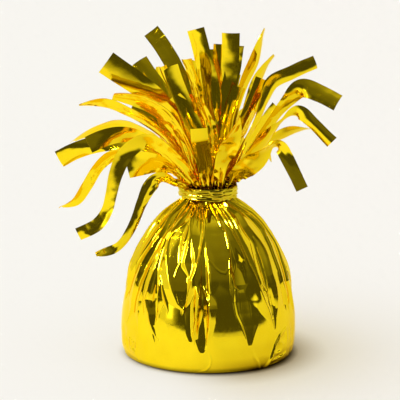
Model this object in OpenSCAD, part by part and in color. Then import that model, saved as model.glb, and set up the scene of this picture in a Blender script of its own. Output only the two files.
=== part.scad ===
// Balloon weight wrapped in gold foil, with a fringe of foil strips above its tied neck.
// Lengths are in millimetres. The weight stands on z = 0, its axis is the Z axis, and the
// front faces -Y. Two foil sheets wrap a filled plastic cup and are gathered in a neck by a
// twist tie. Above the neck both sheets are cut into strips that arch out all round.

/* [Weight] */
// Widest diameter of the wrapped weight
base_diameter = 65; // [60:0.5:70]
// Height of the neck's top edge
neck_height = 63; // [58:0.5:68]
// Wall of the moulded cup inside
cup_wall = 1.2; // [0.9:0.1:1.6]
// Thickness of the plug that closes the cup
plug_thickness = 1.6; // [1.2:0.1:2.4]

/* [Foil] */
// Thickness that the two wrapped sheets are drawn with
sheet_thickness = 0.4; // [0.3:0.05:0.5]
// Deepest part of a fold in the outer sheet
fold_depth = 2; // [1:0.1:2.4]

/* [Neck] */
// Diameter of the gathered neck under the tie
neck_diameter = 18.8; // [18.6:0.1:20]
// Width of the tie's band
tie_width = 4.2; // [3:0.1:5]
// Thickness of the tie's band
tie_thickness = 0.85; // [0.8:0.05:1.2]
// Diameter of the tie's wire
wire_diameter = 0.4; // [0.3:0.05:0.45]
// Length of the twisted ends at the back
tail_length = 12; // [8:0.5:14]

/* [Fringe] */
// Size that the strips' routes are drawn for
fringe_span = 100; // [94:1:106]
// Width of a strip
strip_width = 6.2; // [5.6:0.1:6.6]
// Thickness that the strips are drawn with
strip_thickness = 0.3; // [0.25:0.01:0.32]

/* [Hidden] */
base_radius = base_diameter / 2;
neck_radius = neck_diameter / 2;
// Play between one layer and the next
layer_gap = 0.3;
// Play of the wire in its band and of the band round the neck
tie_gap = 0.06;
// Overrun of every cut
cut_over = 0.5;

// Outer sheet: height as a share of the neck's foot, radius as a share of the base radius,
// and fold as a share of the deepest one
skirt_shares = [
    [0, 0.954, 0], [0.017, 0.978, 0], [0.086, 0.995, 0.1], [0.206, 0.999, 0.3],
    [0.378, 0.973, 0.6], [0.541, 0.923, 0.85], [0.687, 0.815, 1], [0.816, 0.689, 1],
    [0.911, 0.548, 0.8], [0.971, 0.38, 0.4]
];
neck_foot = neck_height - tie_width - cut_over;
skirt_levels = concat(
    [for (s = skirt_shares) [s[0] * neck_foot, s[1] * base_radius, s[2] * fold_depth]],
    [[neck_foot, neck_radius, 0], [neck_height, neck_radius, 0]]
);
// Folds of the outer sheet, from the front's left round the back to the front's right. Each
// has its azimuth at the neck, at its knee and at its foot, in degrees from the front, the
// height at which it ends as a share of the neck's foot, and its share of the deepest fold
fold_shares = [
    [-92, -80, -75, 0.35, 0.5], [-66, -66, -69, 0.3, 0.55], [-57, -55, -58, 0.28, 0.8],
    [-48, -48, -50, 0.2, 0.6], [-37, -43, -43, 0.16, 0.9], [-28, -37, -27, 0.4, 0.8],
    [-22, -23, -21, 0.42, 0.7], [-15, -16, -17, 0.55, 0.6], [-9, -5, -13, 0.4, 1],
    [-2, -1, 0, 0.15, 0.7], [6, 17, 16, 0.42, 1], [12, 25, 31, 0.6, 0.6], [21, 30, 38, 0.35, 0.9],
    [29, 35, 42, 0.3, 0.8], [36, 50, 52, 0.28, 1], [52, 62, 64, 0.3, 0.7], [66, 80, 79, 0.3, 0.9],
    [88, 92, 91, 0.35, 0.7], [100, 102, 104, 0.25, 0.9], [110, 112, 113, 0.5, 0.6],
    [121, 120, 123, 0.2, 1], [130, 131, 130, 0.45, 0.6], [138, 141, 143, 0.3, 0.9],
    [149, 150, 148, 0.55, 0.5], [158, 160, 161, 0.18, 1], [168, 169, 172, 0.4, 0.7],
    [178, 180, 179, 0.3, 0.8], [188, 188, 191, 0.5, 0.6], [197, 199, 198, 0.22, 1],
    [207, 209, 211, 0.45, 0.6], [218, 218, 217, 0.3, 0.9], [227, 230, 231, 0.55, 0.6],
    [238, 240, 239, 0.25, 0.9], [248, 250, 252, 0.4, 0.7], [257, 265, 266, 0.3, 0.8]
];
fold_count = len(fold_shares);
// Heights of a fold's neck, knee and foot, and the height in which it fades out, as shares
fold_height_shares = [1, 0.77, 0.45];
fold_fade_share = 0.16;

// Layers under the outer sheet, each set in from the bottom of the folds
inner_sheet_inset = sheet_thickness + layer_gap;
cup_inset = inner_sheet_inset + sheet_thickness + layer_gap;
inner_neck_share = 0.728;
inner_neck_radius = inner_neck_share * neck_radius;
cup_top_share = 0.895;
cup_top = cup_top_share * neck_foot;
cup_crown_share = 0.36;
fill_gap = 0.15;
fill_top_share = 0.87;

// Rings of the neck in which the strips stand, as shares of the neck's radius: the outer
// two belong to the outer sheet and the other three to the inner one
ring_shares = [0.883, 0.787, 0.606, 0.489, 0.372];
root_width_share = 0.42;
// Zero of the strips' heights lies this far below the neck's top edge
fringe_sink = 1;
// Foot of every strip, inside the neck, and where it leaves the neck
root_shares = [-4, 1.5];
// Stations along each span of a strip
span_steps = 2;
// Unit of the tables of shares below
span_unit = fringe_span / 100;

// Strips that the front shows. Each row has its ring, its azimuth in the neck and its
// knots: place x, y, z in hundredths of fringe_span, the turn of its face from the front
// in degrees, and its width as a share of strip_width
front_shares = [
    // Front and right, outer sheet
    [0, -90, [[-0.7, -11, 7, 0, 0.8], [-1.9, -18, 15, 0, 0.9], [-3.2, -28, 22.5, 0, 0.96],
        [-3.4, -40, 28, 0, 0.96]]],
    [0, -64, [[5, -12, 10.5, 25, 1], [6.8, -16, 16.7, 15, 1.1], [8.7, -20, 22.2, 30, 1],
        [10, -24, 29.1, 82, 0.9]]],
    [0, -38, [[11.6, -12, 7.7, 20, 1.2], [17, -16, 13, 15, 1.3], [21.6, -19, 18.3, 60, 1],
        [25, -20.5, 19.2, 40, 0.9], [27.3, -21.5, 15.8, 20, 0.78], [30, -23, 10.5, 5, 0.74],
        [33.1, -25, 4.4, 0, 0.74]]],
    [0, -13, [[13, -4, 8.5, 75, 0.75], [20.5, -6, 16.6, 60, 0.9], [26.2, -8, 21, 45, 0.95],
        [30.6, -9.5, 23.1, 55, 0.95], [36.3, -11, 24, 85, 0.9]]],
    [1, -75, [[4.4, -10.5, 11.5, 40, 0.8], [9.2, -12.5, 18.1, 60, 0.9], [12.9, -13.5, 23.3, 65, 0.95],
        [16.3, -14.5, 31.1, 70, 0.9]]],
    [1, -45, [[10, -8, 8.5, 40, 0.72], [17, -11.5, 16.1, 35, 0.85], [22.3, -14, 23.7, 50, 0.95],
        [26.8, -16, 28.8, 75, 0.95], [31.9, -18, 31, 20, 0.9], [37, -20, 27.2, 0, 0.7],
        [43.5, -22, 20.6, 0, 0.76]]],
    [1, -15, [[11, -4, 8, 70, 0.72], [17.5, -5.5, 17.6, 65, 0.85], [24.4, -7.5, 28.2, 60, 0.9],
        [29.3, -9, 34.4, 45, 1], [33.5, -10.5, 38.2, 10, 1.1], [39.5, -13, 36.8, 0, 1.03],
        [46, -16, 33.8, 0, 1]]],
    [1, 15, [[10.5, 1.2, 8.5, 95, 0.72], [16.1, 2.5, 16.8, 80, 0.85], [20.9, 4, 24.1, 70, 0.95],
        [25.2, 5.5, 29.3, 60, 0.95]]],
    // Front and left, outer sheet
    [0, -116, [[-8.6, -12.3, 9.5, -30, 0.8], [-15, -16, 16.4, -40, 0.9], [-21.9, -19, 20.8, -35, 1],
        [-29.1, -21, 16.6, -15, 0.95], [-32.7, -22, 9.6, 0, 0.8], [-34.6, -22, 1.9, 10, 0.66],
        [-36.2, -21.5, -4.2, 20, 0.7], [-39.8, -21, -9.4, 10, 0.76], [-46.6, -20, -13.1, 0, 0.75]]],
    [0, -141, [[-11.8, -8, 3.6, -60, 0.8], [-16.8, -11.5, 5.7, -20, 1], [-20.9, -14, 3.6, 0, 0.9],
        [-24.1, -15.5, -2.8, 0, 0.66], [-27.8, -17, -11.8, 0, 0.56], [-32.6, -18.5, -18.1, 0, 0.52],
        [-40.4, -20, -20.3, 80, 0.56]]],
    [0, -167, [[-12, -3, 6, -80, 0.7], [-20, -4, 11.6, -60, 0.8], [-28, -4, 14.2, -50, 0.85],
        [-35.2, -3, 12.1, -35, 0.85], [-40.5, -1, 7.2, -25, 0.72], [-44.7, 1, 0.2, -10, 0.66],
        [-49, 3, -5.9, -30, 0.62], [-54.6, 5, -8.6, -85, 0.6]]],
    [0, 167, [[-11.5, 3, 6.5, -105, 0.7], [-18, 4.5, 11.2, -115, 0.9], [-26.1, 6, 14.7, -125, 0.9],
        [-34.2, 7.5, 15.4, -140, 0.95], [-42.9, 9, 14.2, -165, 1], [-49.4, 10, 11.9, -180, 1.05],
        [-55.5, 11, 8.8, -180, 1.08]]],
    [1, -105, [[-1.5, -9, 9.5, -10, 0.72], [-2.2, -10.5, 18.5, 0, 0.9], [-6, -12.5, 28.7, 0, 1],
        [-9.6, -14.5, 38.3, 0, 1], [-11.7, -17, 45.6, 0, 0.95]]],
    [1, -135, [[-10.5, -6.8, 6.5, -45, 0.8], [-16.5, -8.5, 10, -30, 1.2], [-23, -9.5, 11, -15, 1.5],
        [-29.3, -10.5, 9.6, 0, 1.3]]],
    [1, -165, [[-10.5, -2.5, 8.5, -80, 0.72], [-16.5, -5, 14.3, -60, 0.9], [-22.8, -7.5, 19.1, -45, 0.9],
        [-28.9, -9.5, 21.4, -30, 0.95], [-36.8, -12, 20.7, -10, 1], [-42.9, -14, 18.4, 0, 1]]],
    [1, 165, [[-9, 3, 8.5, -100, 0.72], [-15.5, 6.5, 14.9, -75, 0.85], [-24.1, 9.5, 20, -70, 0.9],
        [-33.2, 12.5, 22.1, -60, 0.9], [-41.4, 15, 19.3, -55, 0.9], [-50.8, 18, 14, -85, 0.9]]],
    // Front and right, inner sheet
    [2, -90, [[0.2, -7.2, 10, -10, 0.72], [0.7, -8.2, 22, -30, 0.85], [-3, -8.5, 33, -50, 0.95],
        [-5.4, -9, 41.6, -55, 0.95], [-7.8, -9.5, 48.7, -55, 0.95]]],
    [2, -54, [[4.6, -6.5, 8, 40, 0.72], [6, -8, 17, 45, 0.8], [8.5, -8.5, 27, 48, 0.9],
        [12.3, -9, 37.6, 50, 0.85]]],
    [2, -18, [[8.5, -2, 8, 75, 0.72], [13.5, -2, 18, 65, 0.8], [18, -1, 26.5, 55, 0.88],
        [20.6, 0.5, 33.4, 40, 0.92], [23.4, 2, 38.8, 15, 0.92], [30.2, 5, 41.8, 5, 0.85],
        [39.2, 9, 45.4, 0, 0.8]]],
    [2, 18, [[7.6, 3, 9, 95, 0.72], [11.8, 5, 21, 75, 0.85], [15.2, 7, 31.9, 60, 0.95],
        [18.6, 8.5, 39.9, 55, 0.95], [23.8, 11, 47.5, 85, 0.95]]],
    [3, -67, [[2.6, -5, 9, 15, 0.65], [3.9, -5.5, 21, 0, 0.8], [6.2, -6.5, 32.5, 0, 0.88],
        [8.8, -7.5, 43.6, 0, 0.9], [10, -9, 51.8, 0, 0.9]]],
    [3, -22, [[6, -1.5, 10, 65, 0.65], [11.2, -0.5, 20.5, 65, 0.85], [15.8, 1.8, 30, 60, 0.9],
        [19.6, 3, 40, 60, 0.9]]],
    [3, 23, [[5.2, 2.6, 10, 100, 0.65], [8.3, 4.4, 22, 70, 0.8], [12.6, 8, 36.3, 55, 0.95],
        [16.9, 11, 45.8, 50, 0.98], [20.6, 14, 56.9, 86, 0.95]]],
    [4, -90, [[0.7, -3.6, 10.5, 0, 0.65], [1.4, -3.6, 25, 0, 0.95], [1, -3.4, 37, 0, 1.05],
        [-1.4, -2.8, 46.5, 0, 1.1], [-4.7, -2, 58.5, 0, 1.14]]],
    [4, -30, [[3.2, -1.5, 10, 50, 0.65], [4.4, -1.8, 22, 20, 0.8], [6.6, -2.2, 36, 0, 0.95],
        [7.8, -2.8, 46, 0, 1], [8, -3.4, 57.3, 0, 1.04]]],
    [4, 30, [[2.9, 1.8, 10, 125, 0.65], [3.6, 2, 25, 145, 0.88], [4.2, 2.5, 40, 170, 0.9],
        [4.7, 3, 52.6, 180, 0.9]]],
    // Front and left, inner sheet
    [2, -126, [[-5.4, -6.6, 9, -35, 0.72], [-9, -9.5, 18.1, -30, 0.85], [-14, -12.5, 26.8, -25, 1],
        [-19.7, -15, 31.9, -20, 1], [-26.6, -17.5, 35.2, -20, 0.95], [-33.5, -19, 36.5, -40, 0.8]]],
    [2, -162, [[-7.5, -1.9, 9, -75, 0.72], [-13.5, -4, 17.5, -60, 0.8], [-20.5, -7, 24.1, -60, 0.95],
        [-28.5, -9.5, 29.5, -55, 0.95], [-36.8, -11, 33.1, -55, 0.95], [-46.2, -12, 32.4, -85, 0.9]]],
    [2, 162, [[-7, 2.1, 10, -110, 0.72], [-12, 0.5, 19, -125, 0.8], [-17.3, -0.5, 25.3, -140, 0.95],
        [-22.1, -1, 28.1, -145, 0.95], [-27.7, -1.5, 30.4, -145, 0.95]]],
    [3, -112, [[-2.9, -4.9, 10.5, -20, 0.65], [-5.4, -6.3, 20.5, -20, 0.88], [-8.4, -8, 29.6, -15, 0.95],
        [-12.4, -11, 35.1, -10, 0.95]]],
    [3, -157, [[-5.2, -2.1, 10.5, -60, 0.65], [-9.9, -3.3, 20.6, -40, 0.9], [-14.5, -5.5, 29.7, -25, 1.1],
        [-19.9, -7.5, 35.4, -15, 1.25], [-27.3, -9.5, 41, 0, 1.35], [-36.4, -12, 47.7, 0, 1.42]]],
    [3, 158, [[-5.2, 2.1, 11, -115, 0.65], [-9, 3, 21.9, -135, 0.85], [-15, 5, 32.2, -160, 0.95],
        [-21.2, 7.5, 39.9, -175, 1], [-25.3, 10, 45.7, -180, 1]]],
    [2, 126, [[-5, 5.8, 10, -146, 0.72], [-9, 9, 20.9, -155, 0.85], [-14.6, 11, 32.2, -165, 0.95],
        [-17.7, 12, 38.3, -180, 0.95], [-18.7, 12.5, 43.1, -225, 0.95]]],
    [4, -150, [[-3.2, -1.4, 11, -60, 0.65], [-6.2, -1.6, 21, -60, 0.85], [-10.2, -1.4, 31, -60, 0.95],
        [-14, -0.8, 39.5, -60, 0.95], [-16.5, -0.4, 45, -60, 0.9]]],
    [4, 150, [[-3.2, 2.2, 11, -130, 0.65], [-5, 4, 22, -150, 0.85], [-8.3, 6, 34.9, -175, 0.95],
        [-12.6, 8, 44.2, -180, 1], [-16.9, 11, 50.9, -180, 1], [-21.1, 14, 56.3, -180, 1]]]
];

// Strips behind: ring, azimuth in the neck, azimuth of the tip, which arch, how much of the
// arch's reach and rise it has, and the twist at the tip in degrees
back_shares = [
    [0, 13, 36, 0, 0.62, 0.9, 30], [0, 39, 55, 0, 0.8, 1, -25], [0, 64, 73, 0, 1, 1.1, 20],
    [0, 90, 91, 0, 0.95, 0.8, -35], [0, 116, 109, 0, 1.05, 1, 15], [0, 141, 128, 0, 0.8, 1.05, -20],
    [1, 45, 62, 1, 0.85, 0.9, -30], [1, 75, 84, 1, 0.9, 1, 25], [1, 105, 100, 1, 1, 1.05, -15],
    [1, 135, 121, 1, 0.85, 0.95, 35], [2, 54, 70, 2, 0.9, 0.95, 20], [2, 90, 100, 2, 1, 0.9, -25],
    [3, 68, 80, 3, 1, 0.95, -20], [3, 113, 105, 3, 1, 0.9, 25], [4, 90, 95, 4, 1, 0.95, -10]
];
// Arches for the strips behind: reach beyond the ring and height of each knot, in
// hundredths of fringe_span
arch_shares = [
    [[5, 8], [13, 14], [23, 15.5], [33, 10]],
    [[4, 10], [11, 20.5], [20, 27.5], [31, 28.5]],
    [[2.4, 11], [8, 24], [15, 35], [24, 41]],
    [[2, 11], [5, 24.5], [10, 38], [17, 49]],
    [[1, 12], [2.5, 26], [5, 40], [9, 52]]
];
arch_width_shares = [0.75, 0.92, 1, 1];

// Place on the curve through four knots, a share t of the way from b to c
function between(a, b, c, d, t) = 0.5 * (2 * b + (c - a) * t + (2 * a - 5 * b + 4 * c - d) * t * t
    + (3 * b - a - 3 * c + d) * t * t * t);
function unit(v) = v / norm(v);

// Turn from the front of a face that looks outward at an azimuth from -270 to 90 degrees
function outward_turn(azimuth) = azimuth > 90 ? azimuth - 270 : azimuth + 90;
function root_knots(ring, azimuth, turn) = [for (z = root_shares) [
    ring_shares[ring] * neck_radius * cos(azimuth), ring_shares[ring] * neck_radius * sin(azimuth),
    z * span_unit, turn, root_width_share * strip_width
]];
function front_knots(row) = [for (k = row[2]) [
    k[0] * span_unit, k[1] * span_unit, k[2] * span_unit, k[3], k[4] * strip_width
]];
function back_knots(row) = [for (i = [0 : len(arch_width_shares) - 1])
    let (
        part_share = (i + 1) / len(arch_width_shares),
        reach = ring_shares[row[0]] * neck_radius + arch_shares[row[3]][i][0] * row[4] * span_unit,
        rise = arch_shares[row[3]][i][1] * row[5] * span_unit,
        azimuth = row[1] + (row[2] - row[1]) * part_share
    )
    [
        reach * cos(azimuth), reach * sin(azimuth), rise,
        row[6] * part_share, arch_width_shares[i] * strip_width
    ]
];
// Every strip has its ring, its knots and the edge direction that its turns start from:
// none where they start from the front, and along the neck's rim for the strips behind
strips = concat(
    [for (row = front_shares)
        [row[0], concat(root_knots(row[0], row[1], outward_turn(row[1])), front_knots(row)), undef]],
    [for (row = back_shares)
        [row[0], concat(root_knots(row[0], row[1], 0), back_knots(row)), [-sin(row[1]), cos(row[1]), 0]]]
);
function two_digits(n) = n < 10 ? str("0", n) : str(n);
function strip_name(i) = str(strips[i][0] < 2 ? "outer_strip_" : "inner_strip_", two_digits(i + 1));

$fn = 96;

// Radius at the bottom of the folds at height z
function valley_radius(z) = lookup(z, [for (l = skirt_levels) [l[0], l[1] - l[2]]]);
// Half outline of a solid set in from the folds: its floor and side, without its top
function nested_side(inset, floor_z, top_z) = concat(
    [[0, floor_z]],
    [for (z = concat(floor_z, [for (l = skirt_levels) if (l[0] > floor_z && l[0] < top_z - inset) l[0]]))
        [valley_radius(z) - inset, z]]
);

module nested_solid(inset, floor_z, top_z, crown_radius) {
    rotate_extrude() polygon(concat(nested_side(inset, floor_z, top_z), [[crown_radius, top_z], [0, top_z]]));
}

module weight_cup() {
    floor_z = cup_inset;
    color("dimgray") difference() {
        nested_solid(cup_inset, floor_z, cup_top, cup_crown_share * base_radius);
        nested_solid(
            cup_inset + cup_wall, floor_z - cut_over, cup_top - cup_wall,
            cup_crown_share * base_radius - cup_wall
        );
    }
}

module weight_filling() {
    floor_z = cup_inset + plug_thickness + fill_gap;
    inset = cup_inset + cup_wall + fill_gap;
    color("gainsboro")
        nested_solid(inset, floor_z, fill_top_share * neck_foot, cup_crown_share * base_radius - cup_wall);
}

module base_plug() {
    color("white") translate([0, 0, cup_inset])
        cylinder(r = valley_radius(cup_inset) - cup_inset - cup_wall - fill_gap, h = plug_thickness);
}

// Bag of foil between the cup and the outer sheet, with its own neck
module inner_bag(set_in, top_z) {
    shoulder_z = cup_top + layer_gap + sheet_thickness - set_in;
    rotate_extrude() polygon(concat(
        nested_side(inner_sheet_inset + set_in, inner_sheet_inset + set_in, shoulder_z),
        [
            [cup_crown_share * base_radius - set_in, shoulder_z],
            [inner_neck_radius - set_in, neck_foot - layer_gap - set_in],
            [inner_neck_radius - set_in, top_z], [0, top_z]
        ]
    ));
}

module inner_sheet() {
    color("gold") difference() {
        inner_bag(0, neck_height);
        inner_bag(sheet_thickness, neck_height + cut_over);
    }
}

// Azimuth of fold i, and how deep the valleys beside it are, at a height share h
function fold_azimuth(i, h) = let (fold = fold_shares[i % fold_count])
    lookup(h, [for (k = [2, 1, 0]) [fold_height_shares[k], fold[k]]]) + (i < fold_count ? 0 : 360);
function fold_share(i, h) = let (fold = fold_shares[i % fold_count])
    fold[4] * max(0, min(1, (h - fold[3]) / fold_fade_share));
function mean(a, b) = (a + b) / 2;
// Crests and valleys of the folds at one level, set in by a thickness for the inside face
function fold_ring(level, inset, z) = let (h = level[0] / neck_foot)
    [for (i = [0 : fold_count - 1]) each [
        fold_point(fold_azimuth(i, h), level[1] - inset, z),
        fold_point(
            mean(fold_azimuth(i, h), fold_azimuth(i + 1, h)),
            level[1] - inset - level[2] * mean(fold_share(i, h), fold_share(i + 1, h)), z
        )
    ]];
function fold_point(azimuth, r, z) = [r * sin(azimuth), -r * cos(azimuth), z];
// Outward faces of the band between two rings of n points that start at a and b
function band_faces(a, b, n) = [for (j = [0 : n - 1]) let (k = (j + 1) % n)
    each [[a + j, b + k, a + k], [a + j, b + j, b + k]]];
function band_faces_in(a, b, n) = [for (f = band_faces(a, b, n)) [f[0], f[2], f[1]]];

// Folded bag of foil with a flat underside, wrapped from below and open at its neck
module outer_sheet() {
    n = 2 * fold_count;
    levels = len(skirt_levels);
    outside = [for (l = skirt_levels) each fold_ring(l, 0, l[0])];
    inside = [for (i = [0 : levels - 1]) each fold_ring(
        skirt_levels[i], sheet_thickness, i == 0 ? sheet_thickness : skirt_levels[i][0]
    )];
    floor_points = [[0, 0, 0], [0, 0, sheet_thickness]];
    inner_start = levels * n;
    floor_start = 2 * levels * n;
    color("gold") polyhedron(
        points = concat(outside, inside, floor_points),
        faces = concat(
            [for (i = [0 : levels - 2]) each band_faces(i * n, (i + 1) * n, n)],
            [for (i = [0 : levels - 2])
                each band_faces_in(inner_start + i * n, inner_start + (i + 1) * n, n)],
            band_faces((levels - 1) * n, inner_start + (levels - 1) * n, n),
            [for (j = [0 : n - 1]) [floor_start, j, (j + 1) % n]],
            [for (j = [0 : n - 1]) [floor_start + 1, inner_start + (j + 1) % n, inner_start + j]]
        )
    );
}

tie_inner_radius = neck_radius + tie_gap;
tie_mid_radius = tie_inner_radius + tie_thickness / 2;
tie_mid_z = neck_height - tie_width / 2;
tail_radius_share = 0.9;

// Ring round the neck and its twisted ends at the back, of round section, for wire and channel
module tie_core(radius, tail) {
    translate([0, 0, tie_mid_z]) {
        rotate_extrude() translate([tie_mid_radius, 0]) circle(r = radius, $fn = 24);
        translate([0, tie_mid_radius, 0]) rotate([-90, 0, 0]) cylinder(r = radius, h = tail, $fn = 24);
    }
}

module tie_band() {
    color("goldenrod") difference() {
        union() {
            translate([0, 0, neck_height - tie_width]) rotate_extrude()
                translate([tie_inner_radius, 0]) square([tie_thickness, tie_width]);
            translate([0, tie_mid_radius, tie_mid_z]) rotate([-90, 0, 0])
                cylinder(r = tail_radius_share * tie_thickness, h = tail_length, $fn = 24);
        }
        // The tail's foot ends at the neck, under the band
        translate([0, 0, neck_height - tie_width]) cylinder(r = tie_inner_radius, h = tie_width);
        tie_core(wire_diameter / 2 + tie_gap, tail_length + cut_over);
    }
}

module tie_wire() {
    color("silver") tie_core(wire_diameter / 2, tail_length);
}

// Knots of a strip with the first and last one doubled, then its stations along the curve
function padded(knots) = concat([knots[0]], knots, [knots[len(knots) - 1]]);
function stations(knots) = let (p = padded(knots)) concat(
    [for (i = [1 : len(p) - 3]) for (s = [0 : span_steps - 1])
        between(p[i - 1], p[i], p[i + 1], p[i + 2], s / span_steps)],
    [knots[len(knots) - 1]]
);
function place(s) = [s[0], s[1], s[2]];
function strip_corners(strip) = let (
    s = stations(strip[1]),
    last = len(s) - 1,
    side = strip[2]
) [for (i = [0 : last]) let (
    along = unit(place(s[min(i + 1, last)]) - place(s[max(i - 1, 0)])),
    across = is_undef(side) ? unit(cross(along, [0, -1, 0])) : unit(side - (side * along) * along),
    out = cross(across, along),
    w = (across * cos(s[i][3]) - out * sin(s[i][3])) * s[i][4] / 2,
    n = (out * cos(s[i][3]) + across * sin(s[i][3])) * strip_thickness / 2
) each [place(s[i]) - w - n, place(s[i]) + w - n, place(s[i]) + w + n, place(s[i]) - w + n]];

// Thin strip of foil swept along its curve, with square ends
module strip(i) {
    points = strip_corners(strips[i]);
    spans = len(points) / 4 - 1;
    last = spans * 4;
    color(strips[i][0] < 2 ? "gold" : "goldenrod") translate([0, 0, neck_height - fringe_sink])
        polyhedron(points = points, faces = concat(
            [[2, 1, 0], [3, 2, 0], [last, last + 1, last + 2], [last, last + 2, last + 3]],
            [for (s = [0 : spans - 1]) for (k = [0 : 3]) let (
                a = s * 4 + k,
                b = s * 4 + (k + 1) % 4
            ) each k == 2 ? [[a, b, a + 4], [b, b + 4, a + 4]] : [[a, b, b + 4], [a, b + 4, a + 4]]]
        ));
}

weight_cup();
weight_filling();
base_plug();
inner_sheet();
outer_sheet();
tie_band();
tie_wire();
for (i = [0 : len(strips) - 1]) strip(i);
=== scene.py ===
"""Looks for the foil-wrapped balloon weight: gathered foil bag, wound foil tie and fringe of
foil strips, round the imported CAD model. Lengths are millimetres where nothing else is said."""

import math

import bpy
import numpy as np
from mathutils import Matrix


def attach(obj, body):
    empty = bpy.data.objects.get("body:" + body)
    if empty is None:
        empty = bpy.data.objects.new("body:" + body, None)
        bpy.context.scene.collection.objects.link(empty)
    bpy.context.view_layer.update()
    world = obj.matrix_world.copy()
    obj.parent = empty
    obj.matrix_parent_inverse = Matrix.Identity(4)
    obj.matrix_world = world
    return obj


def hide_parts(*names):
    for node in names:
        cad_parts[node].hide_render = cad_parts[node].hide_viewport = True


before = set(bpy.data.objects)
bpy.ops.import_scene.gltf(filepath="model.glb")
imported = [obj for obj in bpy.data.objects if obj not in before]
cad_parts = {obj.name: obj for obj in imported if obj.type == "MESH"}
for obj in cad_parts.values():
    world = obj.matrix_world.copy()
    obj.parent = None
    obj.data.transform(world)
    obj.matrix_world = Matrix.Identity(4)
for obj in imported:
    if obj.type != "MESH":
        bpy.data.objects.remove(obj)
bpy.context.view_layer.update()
MM = 0.001

# Camera, as the ellipse of the photographed base places it
CAM_X, CAM_Y, CAM_Z = -3.0, -620.0, 183.0
CAM_PITCH = math.radians(11.45)
FOCAL_PX, FRAME_PX, SENSOR = 1719.0, 400.0, 36.0
# The nearest and farthest that it shows, in metres
NEAR, FAR = 0.05, 60.0

camera_data = bpy.data.cameras.new("camera")
camera_data.sensor_width = SENSOR
camera_data.lens = FOCAL_PX / FRAME_PX * SENSOR
camera_data.clip_start, camera_data.clip_end = NEAR, FAR
camera = bpy.data.objects.new("camera", camera_data)
bpy.context.scene.collection.objects.link(camera)
camera.location = (CAM_X * MM, CAM_Y * MM, CAM_Z * MM)
camera.rotation_euler = (math.pi / 2 - CAM_PITCH, 0.0, 0.0)
bpy.context.scene.camera = camera
bpy.context.scene.view_settings.view_transform = "Standard"


# Small maths


def smooth(x, lo, hi):
    """From 0 at lo to 1 at hi, level at both."""
    t = np.clip((np.asarray(x, float) - lo) / (hi - lo), 0, 1)
    return t * t * (3 - 2 * t)


def lattice(ix, iy, seed):
    """Repeatable random numbers from -1 to 1 at whole-number places."""
    with np.errstate(over="ignore"):
        n = (ix.astype(np.int64) * 374761393 + iy.astype(np.int64) * 668265263 + seed * 974634777)
        n = (n ^ (n >> 13)) * 1274126177 & 0xFFFFFFFF
        n = (n ^ (n >> 16)) & 0xFFFF
    return n / 32767.5 - 1


def noise(x, y, seed, wrap=0):
    """Smooth noise with a period of one unit; x repeats after wrap units."""
    x, y = np.broadcast_arrays(np.asarray(x, float), np.asarray(y, float))
    fx, fy = np.floor(x), np.floor(y)
    tx, ty = x - fx, y - fy
    tx, ty = (t * t * t * (t * (t * 6 - 15) + 10) for t in (tx, ty))
    x0, x1 = (fx % wrap, (fx + 1) % wrap) if wrap else (fx, fx + 1)
    a = lattice(x0, fy, seed) * (1 - tx) + lattice(x1, fy, seed) * tx
    b = lattice(x0, fy + 1, seed) * (1 - tx) + lattice(x1, fy + 1, seed) * tx
    return a * (1 - ty) + b * ty


def creased(x, y, seed, wrap=0):
    """Noise with sharp creases, from -1 to 1."""
    return 1 - 2 * np.abs(noise(x, y, seed, wrap))


def curve(points, step):
    """Catmull-Rom curve through rows of points, with stations about step apart by the first
    three columns."""
    p = np.array(points, float)
    p = np.vstack([p[:1], p, p[-1:]])
    rows = []
    for i in range(1, len(p) - 2):
        a, b, c, d = p[i - 1:i + 3]
        n = max(2, int(math.ceil(np.linalg.norm((c - b)[:3]) / step)))
        t = (np.arange(n) / n)[:, None]
        rows.append(0.5 * (2 * b + (c - a) * t + (2 * a - 5 * b + 4 * c - d) * t ** 2
                           + (3 * b - a - 3 * c + d) * t ** 3))
    return np.vstack([*rows, p[-1:]])


def unit(v):
    return v / np.maximum(np.linalg.norm(v, axis=-1, keepdims=True), 1e-9)


def turned(azimuth):
    """The same azimuth in degrees, from -180 to 180."""
    return (azimuth + 180) % 360 - 180


def neighbours(ring):
    """Each entry of a closed ring with the next one."""
    return list(zip(ring, ring[1:] + ring[:1]))


def ring_faces(lower, upper, count):
    """Faces between two closed rings of points, given the number of each one's first point."""
    j = np.arange(count)
    k = (j + 1) % count
    return np.stack([lower + j, lower + k, upper + k, upper + j], -1)


def grid_faces(rows, cols):
    """Faces of a grid of points."""
    i, j = np.meshgrid(np.arange(rows - 1), np.arange(cols - 1), indexing="ij")
    a = (i * cols + j).ravel()
    return np.stack([a, a + 1, a + cols + 1, a + cols], -1)


def piece(name, points_mm, faces, material, sharp=None):
    """Mesh object of a piece, on the part's one body."""
    mesh = bpy.data.meshes.new(name)
    mesh.from_pydata((np.asarray(points_mm, float) * MM).tolist(), [], [list(f) for f in faces])
    mesh.polygons.foreach_set("use_smooth", np.ones(len(mesh.polygons), bool))
    mesh.materials.append(material)
    if sharp is not None:
        keys = {tuple(sorted(e)) for e in sharp}
        flags = np.array([tuple(sorted(e.vertices)) in keys for e in mesh.edges], bool)
        mesh.attributes.new("sharp_edge", "BOOLEAN", "EDGE").data.foreach_set("value", flags)
    mesh.update()
    obj = bpy.data.objects.new(name, mesh)
    bpy.context.scene.collection.objects.link(obj)
    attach(obj, "root")
    return obj


# Materials


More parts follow.
